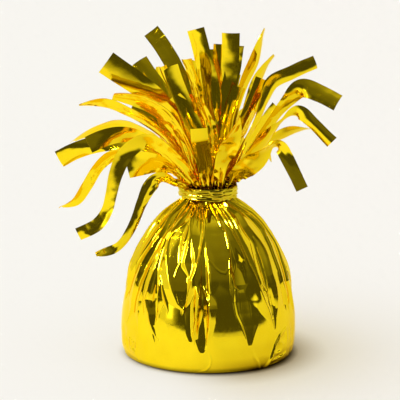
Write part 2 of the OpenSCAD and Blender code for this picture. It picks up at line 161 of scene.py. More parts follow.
class Graph:
    """Node tree of a material or world. A node's input takes a value or another node's output."""

    def __init__(self, owner):
        owner.use_nodes = True
        self.tree = owner.node_tree

    def put(self, inputs, values):
        for key, value in values.items():
            if isinstance(value, bpy.types.NodeSocket):
                self.tree.links.new(value, inputs[key])
            else:
                inputs[key].default_value = value

    def node(self, kind, values=None, **settings):
        made = self.tree.nodes.new("ShaderNode" + kind)
        for key, value in settings.items():
            setattr(made, key, value)
        self.put(made.inputs, values or {})
        return made

    def maths(self, operation, *values):
        return self.node("Math", dict(enumerate(values)), operation=operation).outputs[0]

    def between(self, value, source, target, interpolation="LINEAR"):
        """The value's place in the source range, in the target range."""
        values = {"Value": value, "From Min": source[0], "From Max": source[1],
                  "To Min": target[0], "To Max": target[1]}
        return self.node("MapRange", values, interpolation_type=interpolation).outputs["Result"]

    def mix(self, share, a, b):
        values = {"Factor": share, "A": a, "B": b}
        return self.node("Mix", values, data_type="RGBA").outputs["Result"]

    def mix_shaders(self, share, a, b):
        return self.node("MixShader", {0: share, 1: a, 2: b}).outputs[0]


def rgba(colour, level=1.0):
    return (*[c * level for c in colour], 1)


def surface(name, colours, blend, textures, roughness, relief, extra):
    """Patches of two colours, scuffs in the roughness, and a relief. Each of the three textures
    is a noise's scale, detail and roughness; relief is the bump's strength and height."""
    material = bpy.data.materials.new(name)
    graph = Graph(material)
    place = graph.node("TexCoord").outputs["Object"]
    patches, scuffs, crinkle = (
        graph.node("TexNoise", {"Vector": place, "Scale": scale, "Detail": detail,
                                "Roughness": rough}).outputs["Fac"]
        for scale, detail, rough in textures)
    ramp = graph.node("ValToRGB", {"Fac": patches})
    for element, position, colour in zip(ramp.color_ramp.elements, blend, colours):
        element.position = position
        element.color = rgba(colour)
    bump = graph.node("Bump", {"Strength": relief[0], "Distance": relief[1] * MM, "Height": crinkle})
    graph.put(graph.tree.nodes["Principled BSDF"].inputs, {
        "Base Color": ramp.outputs["Color"],
        "Roughness": graph.between(scuffs, *roughness),
        "Normal": bump.outputs["Normal"],
        **extra,
    })
    return material


FILM = {"Metallic": 1.0, "Specular Tint": (1.0, 0.85, 0.08, 1.0),
        "Coat Weight": 0.16, "Coat Roughness": 0.05, "Coat IOR": 1.5}


def foil(name, bright, deep, roughness, fine, bump):
    """Metallised film: a tinted mirror with patches a little deeper in colour, fine scuffs in
    its roughness and a faint crinkle."""
    textures = [(90.0, 3.0, 0.55), (700.0, 4.0, 0.6), (fine, 2.0, 0.45)]
    spread = ((0.3, 0.8), (roughness * 0.8, roughness * 1.8))
    return surface(name, (deep, bright), (0.35, 0.65), textures, spread, (1.0, bump), FILM)


def plain(name, light, dark, scale, roughness, metallic=0.0):
    """Material of a hidden piece: a mottled, slightly uneven surface."""
    spread = ((0.0, 1.0), (roughness * 0.8, min(1.0, roughness * 1.2)))
    textures = [(scale, 6.0, 0.6)] * 3
    return surface(name, (dark, light), (0.0, 1.0), textures, spread, (0.4, 0.1), {"Metallic": metallic})


GOLD_BRIGHT, GOLD_DEEP = (0.93, 0.70, 0.005), (0.89, 0.64, 0.002)
foil_bag = foil("foil_bag", GOLD_BRIGHT, GOLD_DEEP, 0.07, 160.0, 0.05)
foil_strip = foil("foil_strip", GOLD_BRIGHT, GOLD_DEEP, 0.10, 220.0, 0.05)
foil_tie = foil("foil_tie", (0.66, 0.52, 0.012), (0.48, 0.35, 0.006), 0.12, 500.0, 0.1)
HIDDEN = {
    "weight_cup": plain("cup_plastic", (0.5, 0.5, 0.48), (0.42, 0.42, 0.4), 300.0, 0.6),
    "weight_filling": plain("plaster", (0.78, 0.76, 0.72), (0.62, 0.6, 0.57), 500.0, 0.9),
    "base_plug": plain("plug_plastic", (0.8, 0.8, 0.78), (0.7, 0.7, 0.68), 300.0, 0.5),
    "tie_wire": plain("steel_wire", (0.6, 0.6, 0.6), (0.45, 0.45, 0.45), 900.0, 0.35, 1.0),
    "inner_sheet": foil_bag,
}
for name, material in HIDDEN.items():
    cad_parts[name].data.materials.clear()
    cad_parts[name].data.materials.append(material)

# Foil bag. Profile of the wrapped cup: height and radius, from the underside's rim to the neck
PROFILE = [(0, 28.9), (0.1, 29.5), (0.45, 30.3), (1.2, 31.2), (2.4, 31.85), (4.2, 32.25), (7, 32.45),
           (12, 32.5), (22, 31.7), (31.5, 29.9), (40, 26.6), (47.6, 22.3), (53.1, 17.6), (56.6, 12.9),
           (58.6, 10.0), (60.0, 9.45), (63.0, 9.4)]
PROFILE_STEP, NORMAL_REACH = 0.1, 0.6
profile = curve([(r, z, 0) for z, r in PROFILE], PROFILE_STEP)[:, :2]
profile_s = np.concatenate([[0], np.cumsum(np.linalg.norm(np.diff(profile, axis=0), axis=1))])
PROFILE_LENGTH = profile_s[-1]
by_height = np.argsort(profile[:, 1])


def profile_at(s):
    """Radius, height and outward normal of the profile at arc length s."""
    r, z = np.interp(s, profile_s, profile[:, 0]), np.interp(s, profile_s, profile[:, 1])
    ahead, behind = s + NORMAL_REACH, s - NORMAL_REACH
    dr, dz = (np.interp(ahead, profile_s, profile[:, k]) - np.interp(behind, profile_s, profile[:, k])
              for k in (0, 1))
    n = unit(np.stack([dz, -dr], -1))
    return r, z, n[..., 0], n[..., 1]


def arc_at(height):
    """Arc length of the profile at a height."""
    return np.interp(height, profile[by_height, 1], profile_s[by_height])


# Stations along a line of sight, in front of the bag and into it
SIGHT = np.linspace(540, 680, 1401)


def on_bag(u, v):
    """Azimuth from the front and arc length of the place on the bag that the camera sees at a
    pixel of the photograph."""
    u, v = np.asarray(u, float), np.asarray(v, float)
    x, y = (u - FRAME_PX / 2) / FOCAL_PX, (FRAME_PX / 2 - v) / FOCAL_PX
    d = np.stack([x, math.cos(CAM_PITCH) + y * math.sin(CAM_PITCH),
                  -math.sin(CAM_PITCH) + y * math.cos(CAM_PITCH)], -1)
    p = np.array([CAM_X, CAM_Y, CAM_Z]) + d[..., None, :] * SIGHT[:, None]
    r = np.hypot(p[..., 0], p[..., 1])
    wall = np.interp(p[..., 2], profile[by_height, 1], profile[by_height, 0], left=0, right=0)
    miss = r - wall
    k = np.where((miss < 0).any(-1), np.argmax(miss < 0, axis=-1), np.argmin(miss, axis=-1))
    q = np.take_along_axis(p, k[..., None, None], -2)[..., 0, :]
    return np.degrees(np.arctan2(q[..., 0], -q[..., 1])), arc_at(q[..., 2])


# Crests of the folds that the photograph shows: how wide the left and right side is, the size
# of the bead, then the pixels that the crest passes and how clearly it stands out there, which
# is fully where nothing is said
CRESTS = [
    # Left flank, from the outline inwards
    [4, 2, 1.6, (171, 205), (155, 222), (141, 245, 0.9), (134, 258, 0.9), (130, 268, 0.8),
     (127, 278, 0.7), (125, 288, 0.5), (123, 298, 0)],
    [4, 1.4, 1.8, (181, 203), (172, 211), (165, 220), (158, 229), (151, 239), (146, 247), (140, 257),
     (135, 267), (131, 276), (128, 284, 0.9), (125, 292, 0.7), (123, 303, 0)],
    [4, 1, 1.8, (185, 199), (177, 207), (170, 215), (164, 226), (158, 237), (152, 247), (147, 255),
     (143, 263), (140, 272), (137, 281), (135, 290), (133, 299), (132, 308, 0.9), (129, 316, 0.8),
     (126, 324, 0.7), (124, 334, 0)],
    [4, 1.8, 1.8, (189, 199), (183, 208, 0.8), (176, 217, 0.7), (170, 227, 0.5), (164, 237, 0.5),
     (160, 247, 0.8), (155, 257, 0.8), (150, 265, 0.7), (147, 273, 0.8), (144, 282, 0.8), (142, 291, 0.9),
     (140, 300), (139, 310), (139, 320), (138, 331, 0.8), (138, 343, 0)],
    [4, 2.2, 2, (193, 199), (189, 208), (183, 216), (176, 225), (170, 232), (165, 238), (162, 247),
     (159, 256), (156, 265), (153, 274), (150, 283), (148, 292), (146, 300), (147, 307), (149, 314),
     (150, 322), (152, 330), (155, 337, 0.9), (159, 343, 0.7), (163, 349, 0)],
    [5.5, 5, 1.2, (191, 217, 0.6), (188, 221), (181, 226), (174, 231), (169, 238), (167, 247), (166, 257),
     (167, 267), (168, 277), (171, 287), (174, 297), (177, 305, 0.8), (183, 310, 0)],
    [0.8, 1.6, 1.6, (162, 262, 0), (160, 272, 0.9), (160, 285), (158, 298), (158, 308, 0.8), (158, 321, 0)],
    [4, 1.4, 1.6, (162, 266, 0), (162, 276, 0.8), (162, 287, 0.9), (164, 298, 0.9), (167, 311, 0)],
    # Left of the middle
    [1.4, 3, 1.4, (190, 222), (187, 232), (184, 241), (182, 250, 0.9), (179, 262, 0.8), (175, 272, 0.7),
     (173, 280, 0.7), (176, 290, 0.9), (178, 302, 0.8), (181, 310, 0)],
    [5, 3, 1.4, (194, 200), (192, 210), (190, 222), (190, 234), (188, 244), (186, 253), (184, 262, 0.9),
     (187, 271, 0.8), (190, 280, 0.6), (189, 288, 0)],
    [3.3, 2.4, 1.4, (197, 200, 0.9), (195, 208, 0.9), (193, 220, 0.8), (191, 234, 0.7), (192, 244),
     (194, 254), (195, 263, 0.9), (193, 272, 0.5), (191, 281, 0)],
    [1.6, 2, 1.6, (203, 200), (203, 212), (204, 224), (203, 238), (201, 250), (198, 260), (195, 270),
     (191, 281), (188, 293), (185, 303, 0.9), (182, 312, 0)],
    # Middle
    [6, 4, 1.4, (206, 236, 0.3), (206, 248, 0.9), (208, 262, 0.9), (209, 275, 0.9), (210, 288, 0.8),
     (210, 302, 0)],
    [1.8, 1.4, 1.6, (194, 280, 0), (196, 288, 0.9), (199, 297), (198, 310), (196, 322, 0.9),
     (193, 335, 0.9), (194, 344, 0.7), (198, 352, 0)],
    [1.4, 1.8, 1.6, (203, 283, 0), (204, 291), (207, 299), (209, 310), (209, 322), (208, 335),
     (207, 345, 0.8), (203, 353, 0)],
    [12, 3, 2.2, (209, 200), (213, 208), (217, 217), (221, 225), (226, 232), (228, 242), (230, 252),
     (230, 262, 0.9), (230, 274, 0.8), (231, 288, 0.6), (232, 302, 0)],
    # Bundle of sharp folds that runs down to the right
    [3, 1.6, 1.6, (213, 199), (219, 208), (224, 217), (229, 226), (233, 234), (238, 243), (243, 253),
     (247, 263, 0.8), (251, 274, 0)],
    [3, 2, 1.8, (217, 199), (224, 210), (230, 220), (234, 228), (238, 236), (242, 245), (246, 254),
     (250, 264), (254, 273), (257, 281), (260, 291), (264, 302), (268, 312, 0.9), (272, 322, 0.7),
     (275, 331, 0)],
    [2.4, 3, 1.6, (220, 199), (227, 209), (233, 218), (238, 229), (243, 239), (248, 248), (252, 258),
     (256, 268), (259, 277), (262, 285), (266, 292, 0.8), (269, 300, 0)],
    # Right flank
    [1.4, 9, 1.4, (223, 199), (230, 207), (238, 211), (243, 217), (248, 225), (254, 232), (260, 239),
     (265, 247), (268, 255), (270, 264), (272, 274), (275, 284), (277, 295, 0.9), (278, 308, 0.7),
     (277, 322, 0)],
    [2.2, 5, 1.8, (228, 199), (238, 206), (247, 212), (256, 219), (263, 227), (267, 236), (271, 245),
     (274, 254), (277, 263), (280, 273), (282, 282), (285, 293), (288, 303, 0.9), (291, 315, 0)],
    [2, 5, 1.8, (233, 200), (243, 205), (253, 211), (262, 220), (269, 230), (275, 240), (279, 250),
     (282, 260), (285, 270), (287, 280), (290, 292, 0.9), (292, 304, 0.7), (294, 318, 0)],
]
# Folds behind, as in the CAD source: azimuth at the neck, the knee and the foot, the height
# at which the fold ends as a share of the neck's foot, and its share of the deepest one
BACK_FOLDS = [
    [88, 92, 91, 0.35, 0.7], [100, 102, 104, 0.25, 0.9], [110, 112, 113, 0.5, 0.6],
    [121, 120, 123, 0.2, 1], [130, 131, 130, 0.45, 0.6], [138, 141, 143, 0.3, 0.9],
    [149, 150, 148, 0.55, 0.5], [158, 160, 161, 0.18, 1], [168, 169, 172, 0.4, 0.7],
    [178, 180, 179, 0.3, 0.8], [188, 188, 191, 0.5, 0.6], [197, 199, 198, 0.22, 1],
    [207, 209, 211, 0.45, 0.6], [218, 218, 217, 0.3, 0.9], [227, 230, 231, 0.55, 0.6],
    [238, 240, 239, 0.25, 0.9], [248, 250, 252, 0.4, 0.7], [257, 265, 266, 0.3, 0.8]
]
NECK_FOOT = 58.3
FOLD_HEIGHTS = [0.45 * NECK_FOOT, 0.77 * NECK_FOOT, NECK_FOOT]
BACK_FOLD_STATIONS, BACK_FOLD_FADE = 12, 9
# Small pleats by the neck: how far apart, in degrees, and how far down they're drawn. Then, from
# least to most, how far down one fades, how clearly it stands out, its bead, and the widths of
# its side towards the middle of the front and of its other side
PLEAT_PITCH, PLEAT_REACH, PLEAT_STATIONS = 5.5, 26, 14
PLEAT_FADE, PLEAT_CLEAR, PLEAT_BEAD = (7, 24), (0.5, 1.0), (0.6, 1.4)
PLEAT_SIDES = ((2.4, 0.8), (4.5, 1.8))
# Hollows with a rounded foot: pixel, half width and depth of each knot
HOLLOWS = [
    [(202, 354, 0.6, 0), (202, 349, 1.3, 0.35), (202, 340, 2, 0.75), (203, 328, 2.1, 1.05),
     (203, 315, 1.9, 1.2), (204, 302, 1.7, 1.3), (204, 290, 1.4, 1.25), (204, 278, 1.2, 1),
     (204, 262, 1, 0.5), (204, 246, 0.8, 0)],
    [(250, 347, 0.7, 0), (250, 338, 1.4, 0.4), (250, 326, 2.8, 0.8), (248, 314, 4, 1), (247, 302, 4.4, 1),
     (246, 290, 4, 0.85), (245, 276, 3.4, 0.5), (243, 258, 2.6, 0)],
    [(191, 342, 0.6, 0), (190, 334, 1.2, 0.3), (190, 322, 1.8, 0.65), (189, 308, 2, 0.9),
     (190, 294, 1.8, 0.9), (190, 280, 1.4, 0)],
    [(153, 325, 0.6, 0), (153, 318, 1.1, 0.35), (153, 308, 1.4, 0.6), (154, 298, 1.2, 0.7),
     (156, 286, 1, 0.6), (158, 272, 0.8, 0)],
    [(158, 347, 0.8, 0), (156, 338, 1.4, 0.3), (155, 328, 1.8, 0.3), (154, 316, 1.4, 0)],
    [(217, 276, 4, 0), (216, 264, 4.2, 0.2), (215, 252, 4.2, 0.3), (214, 240, 3.8, 0.35),
     (214, 231, 3.4, 0.25), (214, 221, 3, 0)],
    [(245, 292, 1, 0), (243, 284, 2.4, 0.7), (240, 272, 2.8, 0.9), (237, 260, 2.4, 0.7),
     (233, 248, 1.4, 0.3), (231, 240, 1, 0)],
    [(266, 291, 0.8, 0), (265, 284, 1.6, 0.6), (262, 272, 2, 0.8), (259, 260, 1.8, 0.6),
     (256, 248, 1.4, 0.3), (254, 240, 1, 0)],
    [(275, 330, 0.5, 0), (275, 320, 0.9, 0.5), (274, 306, 1.1, 0.7), (272, 294, 0.9, 0.4),
     (270, 284, 0.8, 0)],
    [(287, 312, 0.5, 0), (286, 302, 0.8, 0.4), (283, 290, 0.9, 0.5), (280, 278, 0.8, 0.3),
     (278, 268, 0.6, 0)],
    [(148, 357, 0.8, 0), (147, 348, 1.2, 0.15), (145, 334, 1.2, 0.15), (144, 320, 1, 0)],
]
# Hollows behind: how many, and how many degrees of the front they may reach into
BACK_HOLLOWS, BACK_HOLLOW_LAP = 16, 10
# How squarely a hollow's floor meets its sides
HOLLOW_POWER = 7
# Fine creases of the film: pixel and height of each knot, and the crease's half width
FILM_CREASES = [
    ([(207, 256, 0.1), (212, 263, 0.25), (216, 268, 0.25), (221, 272, 0.25), (226, 273, 0.2),
     (229, 268, 0.1)], 0.5),
    ([(237, 215, 0.1), (238, 224, 0.2), (241, 232, 0.1)], 0.4),
    ([(254, 236, 0.1), (258, 242, 0.2), (260, 250, 0.2), (263, 258, 0.2), (266, 270, 0.1)], 0.5),
]
# Creases of the wrapped foot: pixel and height of each knot, and the crease's half width
FOOT_CREASES = [
    ([(209, 354, 0.05), (211, 360, 0.2), (210, 366, 0.3), (206, 370, 0.3), (199, 372, 0.2),
     (193, 373, 0.05)], 0.6),
    ([(286, 328, 0.2), (280, 336, 0.5), (275, 346, 0.7), (272, 356, 0.7), (267, 364, 0.7),
     (262, 368, 0.4)], 0.9),
    ([(271, 361, 0.2), (276, 359, 0.5), (281, 356, 0.6), (285, 352, 0.4)], 0.6),
    ([(252, 350, 0.1), (255, 358, 0.3), (259, 366, 0.5), (262, 369, 0.5)], 0.9),
    ([(129, 338, 0.2), (134, 343, 0.5), (131, 348, 0.5), (135, 352, 0.4), (139, 360, 0.2)], 0.6),
    ([(124, 352, 0.3), (128, 357, 0.5), (133, 362, 0.5), (140, 364, 0.2)], 0.6),
]
CREASE_STATIONS = 60
# Crumpled patches of the foot: azimuth from the front, height, their half sizes and depth
CRUMPLES = [(62, 6, 14, 6, 0.45), (-66, 8, 13, 6, 0.4), (130, 6, 18, 7, 0.3), (-160, 5, 20, 6, 0.25)]
# How deep the film lies between the crests, by height, averaged over a few millimetres of it
DEEP_HEIGHTS = [4, 10, 16, 22, 30, 42, 50, 57]
DEEP = [0.0, 0.04, 0.16, 0.66, 1.35, 1.8, 1.8, 1.5]
DEEP_BLUR = (-6, -4, -2, 0, 2, 4, 6)
# How steeply the film falls away from a crest and how far, the bead along the crest, and how
# softly the sides of two folds run into each other. The sides are steeper where the bag is
# narrow, between these radii
SIDE_SLOPE, ROUND, BEAD_HEIGHT, BEAD_WIDTH, BLEND = 0.95, 0.05, 0.18, 0.3, 16.0
SIDE_REACH, NARROW = 9.0, (-6, 26)
# How high the crests stand over the profile: so much is gained between two heights, and lost
# between the next two. Where a crest has faded it lies under the film
CREST_GAIN, CREST_LOSS, FADED = (0.75, 2, 22), (0.85, 22, 48), 0.4
# How far a crest wanders sideways, in degrees, and leans in or out against the next, in
# millimetres per millimetre of height from the level LEAN_HEIGHT
WANDER, TIP_TILT, LEAN_HEIGHT = 0.16, 0.035, 24
# A crest rises and fades over a few millimetres of its length
FADE_STEPS = np.linspace(-5, 5, 11)
# Slow waves of the stretched film: height, how many go round the bag, how long each is down
# it, and its seed. The first one comes in above the foot, and all relief fades by the neck
WAVES, WAVE_FOOT = [(0.25, 18, 20, 8), (0.10, 22, 26, 3), (0.04, 46, 12, 4)], (6, 18)
NECK_FADE, NECK_RELIEF = (5.5, 3.0), 0.25
# The finer columns of the front reach this many degrees to either side
FRONT_EDGE, FRONT_COLUMNS, BACK_COLUMNS, BAG_ROWS = 92.0, 920, 260, 200
# Rings of the flat underside
UNDER_RADII, UNDER_MIDDLE = [28.6, 25.0, 18.0, 8.0], 0.4
# Half the thickness of the film as drawn
FOIL_HALF = 0.035


class Crest:
    """Line of a fold's crest: azimuth and prominence by arc length, from foot to neck, and
    the widths of its two sides."""

    def __init__(self, azimuth, s, clear, left, right, bead):
        order = np.argsort(s)
        self.s, self.azimuth, self.clear = (np.asarray(v, float)[order] for v in (s, azimuth, clear))
        self.left, self.right, self.bead = left, right, bead

    def at(self, s):
        clear = np.mean([np.interp(s + step, self.s, self.clear) for step in FADE_STEPS], axis=0)
        return np.interp(s, self.s, self.azimuth), clear


def neck_pleats(crests, own):
    """Small pleats by the neck, between every two crests that reach it."""
    top = sorted((c for c in crests if c.s[-1] > PROFILE_LENGTH - 6), key=lambda c: c.at(PROFILE_LENGTH)[0])
    s = np.linspace(PROFILE_LENGTH - PLEAT_REACH, PROFILE_LENGTH, PLEAT_STATIONS)
    pleats = []
    for one, two in neighbours(top):
        a, b = one.at(s)[0], two.at(s)[0]
        b = b + 360 * (b < a - 180)
        between = int(round((b[-1] - a[-1]) / PLEAT_PITCH)) - 1
        for k in range(between):
            q = (k + 1 + own.uniform(-0.2, 0.2)) / (between + 1)
            end = PROFILE_LENGTH - own.uniform(*PLEAT_FADE)
            clear = own.uniform(*PLEAT_CLEAR) * smooth(s, end - 6, end + 4)
            sides = own.uniform(*PLEAT_SIDES)
            right_half = math.sin(math.radians(a[-1] + 12)) > 0
            left, right = sides if right_half else sides[::-1]
            pleats.append(Crest(a + (b - a) * q, s, clear, left, right, own.uniform(*PLEAT_BEAD)))
    return pleats


def all_crests():
    own = np.random.default_rng(5)
    crests = []
    for left, right, bead, *knots in CRESTS:
        u, v, clear = np.array([(*knot, 1)[:3] for knot in knots]).T
        crests.append(Crest(*on_bag(u, v), clear, left, right, bead))
    for neck, knee, foot, end, share in BACK_FOLDS:
        end_s = arc_at(end * NECK_FOOT)
        s = np.linspace(end_s, PROFILE_LENGTH, BACK_FOLD_STATIONS)
        clear = np.minimum(1, (s - end_s) / BACK_FOLD_FADE) * (0.5 + 0.5 * share)
        left, right = own.uniform(1.5, 5, 2)
        azimuth = np.interp(s, arc_at(FOLD_HEIGHTS), [foot, knee, neck])
        crests.append(Crest(azimuth, s, clear, left, right, own.uniform(1, 2)))
    return crests + neck_pleats(crests, own)


def folded_film(azimuth, s):
    """Height of film over the profile that hangs from the crests: each one's sides fall away
    from it, and the highest side counts."""
    r, z, _, _ = profile_at(s)
    low = -np.mean([np.interp(z + step, DEEP_HEIGHTS, DEEP) for step in DEEP_BLUR], axis=0)
    high = CREST_GAIN[0] * smooth(z, *CREST_GAIN[1:]) - CREST_LOSS[0] * smooth(z, *CREST_LOSS[1:])
    total = np.exp(BLEND * low)
    for number, crest in enumerate(all_crests()):
        a, clear = crest.at(s[:, :1])
        a = a + WANDER * noise(s[:, :1] / 7.3, number * 3.7, 41)
        x = np.radians(turned(azimuth - a)) * r
        away = np.minimum(np.sqrt(x * x + ROUND ** 2) - ROUND, SIDE_REACH)
        own_tilt = TIP_TILT * noise(number * 1.37, 0.5, 77) * np.clip(z - LEAN_HEIGHT, -12, 18)
        tip = low - FADED + (high + own_tilt - low + FADED) * clear
        slope = SIDE_SLOPE / (0.5 + np.where(x < 0, crest.left, crest.right)) / smooth(r, *NARROW)
        side = tip - slope * away + crest.bead * BEAD_HEIGHT * (np.exp(-away / BEAD_WIDTH) - 1)
        total = total + np.exp(BLEND * side) * (clear > 0)
    return np.log(total) / BLEND


def all_hollows():
    """Azimuth, arc length, half width and depth along each hollow, traced or behind."""
    back = np.random.default_rng(11)
    hollows = [(*on_bag(*np.array(k).T[:2]), *np.array(k).T[2:]) for k in HOLLOWS]
    first, span = FRONT_EDGE - BACK_HOLLOW_LAP, 360 + 2 * BACK_HOLLOW_LAP - 2 * FRONT_EDGE
    for i in range(BACK_HOLLOWS):
        centre = first + span * (i + 0.2) / BACK_HOLLOWS + back.uniform(-3, 3)
        foot = back.uniform(4, 24)
        line = np.linspace(foot, foot + back.uniform(18, 30), 5)
        wide = back.uniform(1.5, 3.4) * np.array([0.5, 0.9, 1, 0.9, 0.6])
        deep = back.uniform(0.4, 0.9) * np.array([0, 0.7, 1, 1, 0])
        hollows.append((centre + back.uniform(-1.5, 1.5, 5), line, wide, deep))
    return hollows


def creases(azimuth, s, r):
    """Height of the traced creases over the film."""
    out = np.zeros_like(s)
    for knots, width in FOOT_CREASES + FILM_CREASES:
        u, v, height = np.array(knots).T
        steps, grid = np.linspace(0, 1, CREASE_STATIONS), np.linspace(0, 1, len(knots))
        stations = [np.interp(steps, grid, k) for k in (*on_bag(u, v), height)]
        lift = np.zeros_like(s)
        for a, line, high in zip(*stations):
            near = np.hypot(np.radians(turned(azimuth - a)) * r, s - line)
            lift = np.maximum(lift, high * np.maximum(1 - near / width, 0))
        out = out + lift
    return out


def bag_relief(azimuth, s):
    """Height of the foil over the profile at a grid of azimuths and arc lengths."""
    r, z, _, _ = profile_at(s)
    out = folded_film(azimuth, s)
    for a, line, width, depth in all_hollows():
        order = np.argsort(line)
        line, a, width, depth = line[order], a[order], width[order], depth[order]
        x = np.radians(turned(azimuth - np.interp(s, line, a))) * r
        w = np.interp(s, line, width)
        out = out - np.interp(s, line, depth) * np.exp(-np.abs(x / w) ** HOLLOW_POWER)
    out = out + creases(azimuth, s, r)
    turns = azimuth / 360
    waves = [high * noise(turns * count, s / length, seed, count) for high, count, length, seed in WAVES]
    out = out + waves[0] * smooth(z, *WAVE_FOOT) + waves[1] + waves[2]
    for centre, height, wide, tall, depth in CRUMPLES:
        mask = np.exp(-(turned(azimuth - centre) / wide) ** 2 - ((z - height) / tall) ** 2)
        crumple = (creased(turns * 50, s / 4.3, 14, 50) - 0.6) * (1 + 0.7 * noise(turns * 30, s / 8, 15, 30))
        out = out + depth * mask * crumple
    by_neck = smooth(s, *(PROFILE_LENGTH - np.array(NECK_FADE)))
    return out * (1 - (1 - NECK_RELIEF) * by_neck)


def foil_bag_mesh():
    """Points, faces and rim of the bag's outer face."""
    front = np.linspace(-FRONT_EDGE, FRONT_EDGE, FRONT_COLUMNS, endpoint=False)
    behind = np.linspace(FRONT_EDGE, 360 - FRONT_EDGE, BACK_COLUMNS, endpoint=False)
    az = np.concatenate([front, behind])
    n = len(az)
    A, S = np.meshgrid(az, np.linspace(0, PROFILE_LENGTH, BAG_ROWS))
    relief = bag_relief(A, S) * smooth(S, 0.0, 3.0)
    r, z, nr, nz = profile_at(S)
    R, Z = r + nr * relief, np.maximum(z + nz * relief, 0.0)
    a = np.radians(A)
    rings = [np.stack([R * np.sin(a), -R * np.cos(a), Z], -1).reshape(-1, 3)]
    for k, radius in enumerate(UNDER_RADII):
        lift = 0.05 + 0.35 * (k > 0) * smooth(radius, 30, 10)
        lift = lift + 0.12 * creased(az / 360 * 24, radius / 5, 9, 24)
        rings.append(np.stack([radius * np.sin(a[0]), -radius * np.cos(a[0]), np.maximum(lift, 0.0)], -1))
    points = np.vstack([*rings, [[0, 0, UNDER_MIDDLE]]])
    rim = (BAG_ROWS - 1) * n
    under = [0, *range(rim + n, len(points) - 1, n)]
    quads = [ring_faces(i, i + n, n) for i in range(0, rim, n)]
    quads += [ring_faces(one, two, n)[:, [1, 0, 3, 2]] for one, two in zip(under, under[1:])]
    inmost = list(range(under[-1], under[-1] + n))
    faces = np.vstack(quads).tolist() + [[b, a, len(points) - 1] for a, b in neighbours(inmost)]
    return points, faces, list(range(rim, rim + n))[::-1]


def with_inner_face(points, faces, rim):
    """The thin sheet's inner face too, and the edge that joins the two round its rim."""
    quads = np.array([f for f in faces if len(f) == 4])
    corner = points[quads]
    across = np.cross(corner[:, 2] - corner[:, 0], corner[:, 3] - corner[:, 1])
    normal = np.zeros_like(points)
    for k in range(4):
        np.add.at(normal, quads[:, k], across)
    normal /= np.maximum(np.linalg.norm(normal, axis=1), 1e-9)[:, None]
    inner = points - normal * 2 * FOIL_HALF
    count = len(points)
    joined = faces + [[i + count for i in reversed(f)] for f in faces]
    joined += [[a, b, b + count, a + count] for a, b in neighbours(rim)]
    return np.vstack([points, inner]), joined


bag = piece("outer_foil_bag", *with_inner_face(*foil_bag_mesh()), foil_bag)
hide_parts("outer_sheet")

# Foil strips, whose heights are measured from the level in the neck where they part
STRIP_WIDTH, NECK_RADIUS, FRINGE_Z = 6.2, 9.4, 62.0
RING_SHARES = [0.883, 0.787, 0.606, 0.489, 0.372]
ROOT_WIDTH_SHARE = 0.42
ROOT_HEIGHTS = [-4, 1.5]
